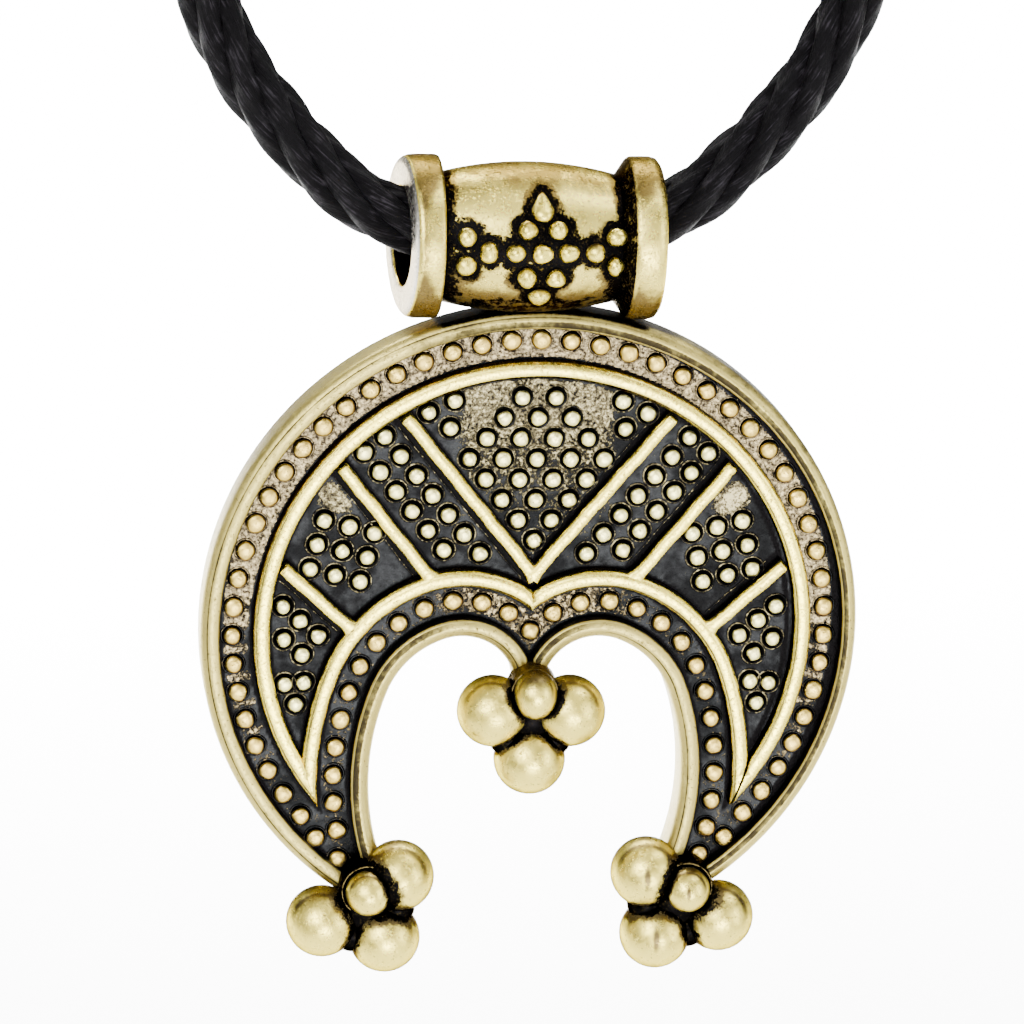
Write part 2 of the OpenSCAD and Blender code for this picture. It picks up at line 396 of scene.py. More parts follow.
def antique_gold(name, metal, brown=None, jag=0.5, jag_scale=3.0, low=0.4, high=0.5, gloss=0.3,
                 speckle=0.15, black_gloss=0.3, edge_brown=0.35, edge_width=0.25,
                 relief=0.00002, rim_tint=(1.0, 1.0, 1.0)):
    """Rubbed cast metal, black wherever its bareness attribute is low: patina, and painted shadow in a
    few bands.

    Its tarnish attribute turns the metal brown, for tarnish and for painted shade and dark reflections,
    and paints a pale silver reflection where it is negative.
    """
    c = colours()
    f = Finish(bpy.data.materials.new(name))
    spot = f.place()
    coarse = f.noise(spot, 0.5, 3.0)
    middle = f.noise(spot, jag_scale, 7.0, 0.68)
    fine = f.noise(spot, 9.0, 4.0, 0.7)
    brown = brown or c.brown
    age_and_shade = f.attribute("tarnish")
    bare = f.attribute("bare") + (middle - 0.5) * jag + (fine - 0.5) * speckle
    metal_mask = f.step(bare, low, high)
    edge = 1 - f.step(bare, high, high + edge_width)
    # Brown for tarnish, for painted shade and for painted dark reflections
    tarnish = f.step(age_and_shade + (coarse - 0.5) * 0.8 + (middle - 0.5) * 0.6 + edge * edge_brown,
                     0.25, 0.95)
    gold = f.mixed(tarnish, metal, brown)
    # A pale silver reflection is painted where that attribute is negative
    gold = f.mixed(f.step(age_and_shade * -1, 0.3, 0.9), gold, SILVER_REFLECTION)
    holes = f.step(f.noise(spot, 6.0, 2.0), 0.64, 0.71) * PIT_SHARE
    gold = f.mixed(holes, gold, PIT_BROWN)
    glints = f.step(f.noise(spot, 7.0, 3.0, 0.6), 0.55, 0.66) * f.step(bare, low - 0.4, low)
    patina = f.mixed(glints, c.black, [v * 0.35 for v in brown])
    base = f.mixed(metal_mask, patina, gold)
    rough = f.spread(middle, 0.3, 0.7, gloss - 0.06, gloss + 0.12)
    rough = metal_mask * rough + (1 - metal_mask) * (black_gloss + (fine - 0.5) * 0.3)
    height = middle * 0.5 + fine * 0.5 + metal_mask * 0.9 - holes * 0.6 + glints * 0.6
    return f.surface(Base_Color=base, Metallic=1.0, Roughness=rough, Normal=f.bump(height, relief),
                     Specular_Tint=rim_tint)


def sunk_floor():
    """The sunk floor: slate patina, black along the walls with painted shadow in places, beige grain
    where it is rubbed bare.

    Its bareness attribute says how far it is rubbed, and is low where shadow is painted; its tarnish
    attribute is 1 in the channels.
    """
    c = colours()
    f = Finish(bpy.data.materials.new("sunk_floor"))
    spot = f.place()
    laid = f.attribute("bare")
    channel = f.attribute("tarnish")
    wide = f.noise(spot, 0.55, 3.0, 0.6)
    middle = f.noise(spot, 2.4, 6.0, 0.7)
    fine = f.noise(spot, 5.5, 4.0, 0.75)
    worn_mask = f.step(laid + (wide - 0.5) * 0.3 + (middle - 0.5) + (fine - 0.5) * 1.1, 0.36, 0.62)
    grain = fine * 0.65 + middle * 0.35 + f.step(laid, 0.8, 1.0) * (1 - channel) * 0.07
    full = f.mixed(channel, PANEL_GRAIN, c.worn)
    bright = f.mixed(channel, PANEL_BRIGHT, CHANNEL_BRIGHT)
    worn = f.mixed(f.step(grain, 0.44, 0.50), GRAIN_DARK, full)
    worn = f.mixed(f.step(grain, 0.525, 0.58), worn, bright)
    open_floor = f.step(laid + (middle - 0.5) * 0.7, -0.25, 0.25)
    slate = f.mixed(f.step(wide, 0.40, 0.62), [v * 0.3 for v in c.slate], c.slate)
    patina = f.mixed(open_floor, c.black, slate)
    base = f.mixed(worn_mask, patina, worn)
    rough = 0.24 + worn_mask * 0.16 + (fine - 0.5) * 0.25
    height = middle * 0.5 + fine * 0.5 + worn_mask * 0.3
    return f.surface(Base_Color=base, Metallic=1.0, Roughness=rough, Normal=f.bump(height, 0.00005))


def waxed_thread():
    """Waxed black thread, with fine fibres that run along each yarn and grey highlights painted along
    some of them.
    """
    f = Finish(bpy.data.materials.new("waxed_thread"))
    thread = f.attribute("thread", "Vector")
    along = f.wire("ShaderNodeVectorMath", {"operation": "MULTIPLY"}, {0: thread, 1: (0.5, 8.0, 1.0)})
    fibre = f.noise(along, 1.0, 4.0, 0.7)
    loose = f.noise(f.place(), 0.9, 4.0)
    # Grey highlights painted along the fibres
    light = f.step(fibre * 0.8 + loose * 0.4, 0.62, 0.80)
    tone = f.mixed(light, colours().cord, FIBRE_HIGHLIGHT)
    rough = f.spread(fibre, 0.3, 0.7, 0.4, 0.62)
    return f.surface(Base_Color=tone, Roughness=rough, Normal=f.bump(fibre, 0.00022),
                     Specular_IOR_Level=0.06)


# Meshes

def grid_faces(rows, cols, wrap=False, flip=False):
    """Quads over a grid of points that are numbered row by row."""
    last = cols if wrap else cols - 1
    row, col = np.meshgrid(np.arange(rows - 1), np.arange(last), indexing="ij")
    row, col = row.ravel(), col.ravel()
    following = (col + 1) % cols
    quads = np.stack([row * cols + col, row * cols + following, (row + 1) * cols + following,
                      (row + 1) * cols + col], axis=1)
    return quads[:, ::-1].tolist() if flip else quads.tolist()


def tube_faces(rows, cols):
    """Quads of a tube and the two faces that close its ends."""
    ends = [list(range(cols))[::-1], [(rows - 1) * cols + i for i in range(cols)]]
    return grid_faces(rows, cols, wrap=True) + ends


def circle(sides):
    return np.linspace(0, 2 * math.pi, sides, endpoint=False)


def rings(values, sides):
    """One value for each ring, repeated round it."""
    return np.repeat(np.reshape(values, (-1, 1)), sides, axis=1)


def rings_at(x, z, radii, depths, angles, outline=1.0):
    """Rings of points round the place x, z of the crescent, each at its own depth."""
    px = x + np.outer(radii, outline * np.cos(angles))
    pz = z + np.outer(radii, outline * np.sin(angles))
    return px, rings(depths, len(angles)), pz


def unevenness(rng, amount, waves, angles):
    """How far a random uneven outline departs from a circle at each angle."""
    lumps = rng.normal(0, amount, waves)
    turned = rng.random(waves) * PHASES
    return sum(lump * np.cos((k + 2) * angles + t) for k, (lump, t) in enumerate(zip(lumps, turned)))


def unit(way):
    return way / np.hypot(*way)


def turn(angle):
    return np.array([math.cos(math.radians(angle)), math.sin(math.radians(angle))])


def beside_line(start, run, t, across):
    """Points at the distances t along a line, and across to its left."""
    left = np.array([-run[1], run[0]])
    return start + t[:, None, None] * run + across[:, :, None] * left


class Shape:
    """Points, faces and surface values that are gathered into one mesh."""

    def __init__(self):
        self.points = []
        self.faces = []
        self.values = {"bare": [], "tarnish": []}
        self.threads = []
        self.count = 0

    def add(self, points, faces, bare=1.0, tarnish=0.0, thread=None):
        points = np.asarray(points, float).reshape(-1, 3)
        self.faces += [[i + self.count for i in face] for face in faces]
        self.points.append(points)
        for key, value in (("bare", bare), ("tarnish", tarnish)):
            value = np.asarray(value, float).ravel()
            self.values[key].append(np.broadcast_to(value, len(points)) if value.size == 1 else value)
        if thread is not None:
            self.threads.append(thread.reshape(-1, 3))
        self.count += len(points)

    def piece(self, name, material, sharp=40.0):
        """The object, shaded smooth, with its edges above the angle sharp kept sharp."""
        mesh = bpy.data.meshes.new(name)
        points = np.concatenate(self.points) * MM
        mesh.from_pydata(points.tolist(), [], self.faces)
        for key, parts in self.values.items():
            layer = mesh.attributes.new(key, "FLOAT", "POINT")
            layer.data.foreach_set("value", np.concatenate(parts).astype(np.float32))
        if self.threads:
            layer = mesh.attributes.new("thread", "FLOAT_VECTOR", "POINT")
            layer.data.foreach_set("vector", np.concatenate(self.threads).astype(np.float32).ravel())
        welded = bmesh.new()
        welded.from_mesh(mesh)
        bmesh.ops.remove_doubles(welded, verts=welded.verts, dist=1e-8)
        welded.to_mesh(mesh)
        welded.free()
        mesh.polygons.foreach_set("use_smooth", [True] * len(mesh.polygons))
        mesh.update()
        if sharp:
            mesh.set_sharp_from_angle(angle=math.radians(sharp))
        mesh.materials.append(material)
        made = bpy.data.objects.new(name, mesh)
        bpy.context.scene.collection.objects.link(made)
        return made


def settle(piece, body, node):
    """Says which body a piece rides on, and hides the solid that it stands for."""
    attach(piece, body)
    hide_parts(node)


def cast(piece):
    """Marks a piece of the pendant's casting."""
    settle(piece, "pendant", "pendant")


# The crescent's plan, in millimetres from its centre

def to_moon(x, y, z):
    """Puts points given from the crescent's centre in their place."""
    x, y, z = np.broadcast_arrays(x, y, z)
    return np.stack([x + MOON_SHIFT, y, z + BAIL_Z - MOON_DROP], axis=-1)


def moon_r():
    return sizes().moon_radius / MM


def bands():
    """How far in from an edge the channel, the rib and the panels begin."""
    s = sizes()
    channel = s.rim_width / MM
    rib = channel + s.channel_width / MM
    return channel, rib, rib + s.rib_width / MM


def arch_centres():
    centres = [np.array([ARCH_X, ARCH_Z])]
    for i in (1, 2):
        centres.append(centres[-1] + (ARCH_R[i - 1] - ARCH_R[i]) * turn(ARCH_TURN[i - 1]))
    return centres


def arch_begin(i):
    """The bearing at which an arc of the notch begins, in degrees."""
    return ARCH_TURN[i - 1] if i else 180.0


def outer_stations():
    """Stations along the outer edge from the left horn over the top to the right horn.

    A station is its point on the edge, the way inwards and the room up to the metal's middle line.
    """
    radius = moon_r()
    whole = 180 - 2 * HORN_STOP
    count = int(whole / OUTER_STEP)
    made = []
    for k in range(count + 1):
        u = turn(180 - HORN_STOP - whole * k / count)
        side = np.array([abs(u[0]), u[1]])
        room = FAR
        for i, (centre, r) in enumerate(zip(arch_centres(), ARCH_R)):
            reach = (np.dot(radius * side - centre, radius * side - centre) - r * r) \
                / (2 * (radius - np.dot(side, centre) + r))
            spot = (radius - reach) * side - centre
            bearing = math.degrees(math.atan2(spot[1], spot[0]))
            if reach > 0 and ARCH_TURN[i] - 4 <= bearing <= arch_begin(i) + 0.01:
                room = min(room, reach)
        made.append((radius * u, -u, room))
    return made


def notch_stations(side):
    """Stations along one side of the notch from the middle finger to the horn."""
    radius = moon_r()
    made = []
    for k in range(8):
        z = FINGER_END + (ARCH_Z - FINGER_END) * k / 8
        made.append((np.array([ARCH_X - ARCH_R[0], z]), np.array([-1.0, 0.0]), ARCH_X - ARCH_R[0]))
    for i, (centre, r) in enumerate(zip(arch_centres(), ARCH_R)):
        begin = arch_begin(i)
        count = max(8, int(math.radians(begin - ARCH_TURN[i]) * r / NOTCH_STEP))
        for k in range(0 if i == 0 else 1, count + 1):
            u = turn(begin + (ARCH_TURN[i] - begin) * k / count)
            base = centre + r * u
            room = (radius ** 2 - np.dot(base, base)) / (2 * (np.dot(centre, u) + r + radius))
            if i == 0 and u[0] < -0.01:
                room = min(room, ARCH_X / -u[0] - r)
            made.append((base, u, room))
    return [(b * [side, 1], n * [side, 1], room) for b, n, room in made if b[1] > NOTCH_END]


def notch_inset(x, z):
    """Distance in from the notch's edge."""
    x = np.abs(x)
    best = np.full(np.shape(x), FAR)
    for i, (centre, r) in enumerate(zip(arch_centres(), ARCH_R)):
        dx, dz = x - centre[0], z - centre[1]
        bearing = np.degrees(np.arctan2(dz, dx))
        end = ARCH_TURN[i] if i < 2 else -60
        inside = (bearing <= arch_begin(i) + 1e-6) & (bearing >= end)
        best = np.where(inside, np.minimum(best, np.hypot(dx, dz) - r), best)
    finger = (z < ARCH_Z) & (x < ARCH_X)
    return np.where(finger, np.minimum(best, ARCH_X - ARCH_R[0] - x), best)


def crescent_inset(x, z):
    return np.minimum(moon_r() - np.hypot(x, z), notch_inset(x, z))


def along_arch(inset, distance, i=0):
    """The place at a distance along the notch, inset from its edge."""
    radius = ARCH_R[i] + inset
    begin = ARCH_TURN[i - 1] if i else math.degrees(math.acos(-ARCH_X / radius))
    length = radius * math.radians(begin - ARCH_TURN[i])
    if i < 2 and distance > length:
        return along_arch(inset, distance - length, i + 1)
    return arch_centres()[i] + radius * turn(begin - math.degrees(distance / radius))


def both_sides(places):
    return [tuple(p) for p in places] + [(-p[0], p[1]) for p in places]


def channel_places():
    """Places of the beads in the outer and the inner channel."""
    s = sizes()
    middle = (s.rim_width + s.channel_width / 2) / MM
    step = s.arch_step / MM
    ring = [RING_R * turn(90 - k * math.degrees(s.ring_step)) for k in range(-RING_N, RING_N + 1)]
    arch = [along_arch(middle, k * step) for k in range(1, ARCH_N + 1)]
    for k, nudge in HORN_NUDGES.items():
        ring[k] = ring[k] + nudge
    return [tuple(p) for p in ring] + [tuple(along_arch(middle, 0))] + both_sides(arch)


def panel_places():
    """Places of the beads in the panels."""
    step = sizes().grid_step / MM
    diamond = [((k - (n - 1) / 2) * DIAMOND_STEP[0], DIAMOND_TOP - r * DIAMOND_STEP[1])
               for r, n in enumerate(DIAMOND_ROWS) for k in range(n)]
    rows = [row[0] * turn(-SLOPE) + (row[1] + k * step) * turn(90 - SLOPE)
            for row in SLOPE_ROWS for k in range(row[2])]
    block = [np.array(BLOCK_AT) + i * step * turn(BLOCK_TILT) + k * step * turn(90 + BLOCK_TILT)
             for i in (-1, 0, 1) for k in (-1, 0, 1)]
    return diamond + both_sides(list(CORNER_BEADS) + list(HORN_BEADS) + block + rows)


def spoke_ends(spoke):
    """A spoke's ends, drawn back from the ribs to leave a dark gap."""
    a, b = np.array(spoke)
    rib_in = bands()[2]
    spots = a + np.linspace(0, 1, 400)[:, None] * (b - a)
    outer = moon_r() - np.hypot(spots[:, 0], spots[:, 1])
    inner = notch_inset(spots[:, 0], spots[:, 1])
    keep = (outer > rib_in + 0.08) & (inner > rib_in - 0.05) & (spots[:, 0] > -0.05)
    return spots[keep][0], spots[keep][-1]


def floor_wear_and_shadow(x, z):
    """How far the patina has worn off the floor, and which points lie in a channel.

    It is negative in the black lines along the walls; some of these are widened as painted shadow,
    along the outer channel's right side and beside each spoke's left-looking side.
    """
    channel_in, rib_out, rib_in = bands()
    inset = crescent_inset(x, z)
    ring = moon_r() - np.hypot(x, z) < notch_inset(x, z)
    in_channel = inset < rib_out + 0.3
    # The channels are worn at the top, over the arches and in specks between the lower beads
    top = np.clip((z + 1.5) / 5.5, 0, 1)
    arch = np.clip((6.5 - np.abs(x)) / 3, 0, 1)
    phase = np.degrees(np.arctan2(x, z)) / math.degrees(sizes().ring_step) % 1
    speck = np.clip(1 - np.abs(phase - 0.5) / 0.24, 0, 1) * np.clip((z + 10) / 7, 0.25, 1)
    channel = np.where(ring, 0.18 + 0.76 * top + 0.5 * (1 - top) * speck, 0.26 + 0.29 * arch)
    # The panels are worn in the middle one and in an oval patch on each side
    middle = np.clip((z - 3.5) / 9, 0, 1) * np.clip((5.0 - np.abs(x)) / 1.2, 0.15, 1) * 0.62
    along, up = np.abs(x) - PATCH_AT[0], z - PATCH_AT[1]
    long_way = (along * PATCH_RUN[0] + up * PATCH_RUN[1]) / PATCH_HALF[0]
    short_way = (up * PATCH_RUN[0] - along * PATCH_RUN[1]) / PATCH_HALF[1]
    patch = np.where(x < 0, 0.75, 1.0) * np.exp(-(long_way ** 2 + short_way ** 2) ** 2)
    panel = np.maximum(middle, patch) + 0.06
    # Distance to the nearest wall
    wall = np.minimum(np.maximum(inset - channel_in, 0),
                      np.minimum(np.abs(inset - rib_out), np.abs(inset - rib_in)))
    for spoke in SPOKES:
        a, b = np.array(spoke)
        run = unit(b - a)
        across = (np.abs(x) - a[0]) * run[1] - (z - a[1]) * run[0]
        ahead = (np.abs(x) - a[0]) * run[0] + (z - a[1]) * run[1]
        # Beside each spoke's left-looking side the black line is widened by a painted shadow strip
        near = np.abs(across) - sizes().spoke_width / MM / 2 - np.where(across * x < 0, SPOKE_SHADOW, 0)
        beside = (ahead > 0) & (inset > rib_in)
        wall = np.minimum(wall, np.where(beside, np.maximum(near, 0), FAR))
    bare = np.where(in_channel, channel, panel)
    # Along the outer channel's right side the black line is widened as painted shadow
    right = np.clip(x / np.maximum(np.hypot(x, z), 1) * 2 - 0.8, 0, 1)
    right = right * (inset < channel_in + 0.6) * ring
    margin = np.where(in_channel, 0.02 + 0.12 * (1 - top) + 0.1 * right, 0.05)
    line = np.clip((wall - margin) / 0.12, 0, 1)
    return bare * line - 0.5 * (1 - line), in_channel


# Rims, ribs and beads

def sweep(shape, stations, profile, paint, squeeze=None, flip=False, slim=0.0):
    """Carries a section along stations of the crescent's edge.

    A row of it is inset, depth, bare, and the tarnish it has where its outer and where its inner side
    looks left, which holds brown and the olive bands of painted dark reflection. It narrows by the part
    slim where its outer side looks right.
    """
    section = np.asarray(profile, float)
    rows, bare, tarnish = [], [], []
    for base, inward, room in stations:
        inset = section[:, 0] * (1 - slim * max(-inward[0], 0) ** 2)
        if squeeze is not None and room < squeeze[0]:
            inset = inset * max(0.02, room - squeeze[1]) / (squeeze[0] - squeeze[1])
        inset = np.minimum(inset, room + 0.02)
        spots = base[None, :] + inset[:, None] * inward[None, :]
        rows.append(to_moon(spots[:, 0], section[:, 1], spots[:, 1]))
        # Which side looks left, where the dark reflection bands are painted
        left = np.clip(0.5 + 0.8 * inward[0], 0, 1)
        row_bare, row_tarnish = paint(base, -inward, section)
        bare.append(row_bare)
        tarnish.append(row_tarnish + section[:, 3] * left + section[:, 4] * (1 - left))
    points = np.stack(rows)
    shape.add(points, grid_faces(len(rows), len(section), flip=flip), bare, tarnish)
    return points


def rim_paint(base, outward, section):
    """The rim is black on its wall under the bail and browner there, darker and browner on the wall
    that looks down, and brown with painted shade on its outer shoulder at the upper right.
    """
    inset = section[:, 0]
    high = np.clip((base[1] - 17.0) / 0.5, 0, 1)
    wall = np.clip((0.3 - inset) / 0.15, 0, 1) * np.clip((6.4 - abs(base[0])) / 0.9, 0, 1)
    under = np.clip(-outward[1], 0, 1) * np.clip((0.4 - inset) / 0.2, 0, 1)
    bare = section[:, 2] * (1 - 0.8 * high * wall) - 0.3 * under
    # Painted shade on the outer shoulder at the upper right
    upper_right = np.clip(2 * outward[0] * outward[1], 0, 1) * (np.min(outward) > 0)
    shoulder = upper_right * np.clip((0.42 - inset) / 0.12, 0, 1) * (np.hypot(*base) > 18)
    return bare, 0.3 * high + 0.3 * under + 0.55 * shoulder


def rib_paint(base, outward, section):
    """A rib's wall is painted dark brown instead of black where it looks up, a painted light, and a
    jagged black band of painted shadow lies on its shoulder that looks down.

    Its olive bands of painted dark reflection end where it runs level.
    """
    middle = (section[0, 0] + section[-1, 0]) / 2
    half = (section[-1, 0] - section[0, 0]) / 2
    off = (middle - section[:, 0]) / half
    wall = np.clip((np.abs(off) - 0.92) * 25, 0, 1)
    # Painted light: the wall that looks up is brown, not black
    up = np.clip(np.sign(off) * outward[1], 0, 1)
    # Painted shadow: a black band on the shoulder that looks down
    down = np.clip(-np.sign(off) * outward[1], 0, 1) * np.clip((np.abs(off) - 0.35) / 0.3, 0, 1)
    shadow_strength = 0.62 if np.hypot(*base) > moon_r() - 0.5 else 0.52
    band = np.clip(1 - 1.6 * abs(outward[0]), 0, 1) * (section[:, 3] + section[:, 4]) / 2
    return np.maximum(section[:, 2] - shadow_strength * down, 0.47 * wall * up), 0.9 * wall + 0.4 * down - band


def rim_profile(width):
    """Section of a rim from the back round the edge to the foot of the channel; its last two columns
    brown it and lay olive bands of painted dark reflection on its shoulders.
    """
    return [(0.3, BACK_Y, 0.9, 0.3, 0.3), (0.09, BACK_Y - 0.07, 1, 0.2, 0.2),
            (0.0, BACK_Y - 0.28, 1, 0.3, 0.3), (0.0, -0.2, 1, 0.25, 0.35),
            (0.0, TOP_Y + 0.6, 1, 0.2, 0.2), (0.03, TOP_Y + 0.4, 1, 0.05, 0.05),
            (0.1, TOP_Y + 0.25, 1, 0, 0), (0.21, TOP_Y + 0.14, 1, 0, 0),
            (0.32, TOP_Y + 0.08, 1, 0.05, 0), (0.37, TOP_Y + 0.055, 1, 1, 0),
            (0.42, TOP_Y + 0.035, 1, 0.6, 0), (0.48, TOP_Y + 0.015, 1, 0.2, 0.05),
            (width - 0.52, TOP_Y, 1, 0.15, 0.2), (width - 0.46, TOP_Y, 1, 0.15, 0.86),
            (width - 0.16, TOP_Y + 0.03, 1, 0.2, 0.92), (width - 0.13, TOP_Y + 0.05, 1, 0.3, 0.0),
            (width - 0.06, TOP_Y + 0.1, 1, 0.6, 0.0), (width - 0.02, TOP_Y + 0.18, 0.5, 0.9, 0.8),
            (width, TOP_Y + 0.3, 0.1, 1, 1),
            (width, FOOT_Y - 0.2, 0, 1, 1), (width, FOOT_Y, 0, 1, 1)]


def rib_profile(start, width, soft):
    """Section of a rib: steep walls, shoulders as wide as soft says, and a broad, nearly flat top; its
    walls are brown and an olive band of painted dark reflection lies on its shoulder.
    """
    side = [(0.0, FOOT_Y, 0.0, 1), (0.0, FOOT_Y - 0.2, 0.0, 1), (0.01, TOP_Y + 0.4, 0.15, 0.9),
            (0.05, TOP_Y + 0.26, 0.5, 0.6), (0.12, TOP_Y + 0.15, 1, 0), (0.21, TOP_Y + 0.08, 1, 0),
            (0.26, TOP_Y + 0.06, 1, 0.9), (0.32, TOP_Y + 0.035, 1, 0.4), (0.4, TOP_Y + 0.01, 1, 0.05)]
    outer = [(start + width * d * soft, y, bare, tarnish, 0.2 * tarnish)
             for d, y, bare, tarnish in side]
    inner = [(start + width * (1 - d * soft), y, bare, 0.2 * tarnish, tarnish)
             for d, y, bare, tarnish in side[::-1]]
    return outer + inner


def bead_section(radius, rise):
    """A bead from its foot to its crown: radius, height and bare."""
    dome = radius * 0.5
    points = [(radius + 0.02, -0.2, 0.0), (radius + 0.012, rise - dome - 0.12, 0.0),
              (radius, rise - dome - 0.02, 0.55)]
    for k in range(1, 9):
        a = math.pi / 2 * k / 8
        points.append((radius * math.cos(a) ** 0.8, rise - dome + dome * math.sin(a), 1.0))
    return np.array(points)


def bead_field(shape, places, diameter, edge):
    """Beads standing on the crescent's floor, with painted shade that browns them towards their edges
    and most on their lower right.
    """
    radius = diameter / 2
    radii, heights, bare = bead_section(radius, 0.1 + 0.7 * radius).T
    angles = circle(24)
    lower_right = np.clip(0.5 + 0.5 * np.cos(angles + 0.9), 0, 1)
    shade = np.outer(edge * np.clip(radii / radius, 0, 1) ** 3, 0.3 + 1.1 * lower_right)
    faces = grid_faces(len(radii), len(angles), wrap=True)
    rng = np.random.default_rng(7)
    for x, z in places:
        outline = 1 + 0.03 * rng.standard_normal() + unevenness(rng, 0.02, 3, angles)
        spots = rings_at(x, z, radii, FLOOR_Y - heights, angles, outline)
        shape.add(to_moon(*spots), faces, rings(bare, len(angles)), shade + 0.15 * rng.random())


def collars(shape, places, radius, crest, channel):
    """A black moat round each bead and the low ridge at its outer edge."""
    section = np.array([(radius + 0.17, -0.12), (radius + 0.1, 0.0), (radius + 0.06, 0.055),
                        (radius + 0.02, 0.07), (radius - 0.02, 0.058), (radius - 0.05, 0.028),
                        (0.2, 0.025), (0.2, -0.12)])
    angles = circle(28)
    faces = grid_faces(len(section), len(angles), wrap=True)
    rng = np.random.default_rng(11)
    for x, z in places:
        outline = 1 + unevenness(rng, 0.015, 2, angles)
        px, py, pz = rings_at(x, z + COLLAR_LIFT, section[:, 0], FLOOR_Y - section[:, 1], angles,
                              outline)
        laid = floor_wear_and_shadow(px, pz)[0]
        laid[4:] = np.clip(laid[0].mean() * 1.2 - 0.6, -0.6, 0.1)
        # The crest is bare, and barer towards its upper left as a painted highlight
        laid[2:4] = np.maximum(laid[2:4], crest * (0.85 + 0.15 * np.cos(angles - 2.3)))
        shape.add(to_moon(px, py, pz), faces, laid, channel)


def spoke_ridges(shape):
    """A thin ridge on each side of each spoke, as far out as its painted shadow strip reaches."""
    half = sizes().spoke_width / MM / 2
    ridge = np.array([(0.0, -0.1), (0.03, 0.03), (0.07, 0.06), (0.11, 0.03), (0.14, -0.1)])
    rng = np.random.default_rng(5)
    for spoke in SPOKES:
        a, b = spoke_ends(spoke)
        t = np.linspace(0.2, np.hypot(*(b - a)) - 0.4, 30)
        for side in (1, -1):
            wave = 0.02 * np.sin(t * 2.2 + 6 * rng.random()) + 0.012 * rng.standard_normal(len(t))
            across = (half + SPOKE_SHADOW + ridge[None, :, 0]) * side + wave[:, None]
            spots = beside_line(a, unit(b - a), t, across)
            shape.add(to_moon(spots[:, :, 0] * side, FLOOR_Y - ridge[:, 1], spots[:, :, 1]),
                      grid_faces(len(t), len(ridge)), np.tile([-0.3, 0.2, 0.5, 0.2, 0], len(t)), 0.0)


def ball_points(radius, rows=40, sides=72):
    """Points and faces of a ball whose poles lie along Y."""
    phi = circle(sides)
    theta = np.linspace(0.0001, math.pi - 0.0001, rows)
    x = radius * np.outer(np.sin(theta), np.cos(phi))
    z = radius * np.outer(np.sin(theta), np.sin(phi))
    y = -radius * rings(np.cos(theta), sides)
    return np.stack([x, y, z], axis=2).reshape(-1, 3), grid_faces(rows, sides, wrap=True)


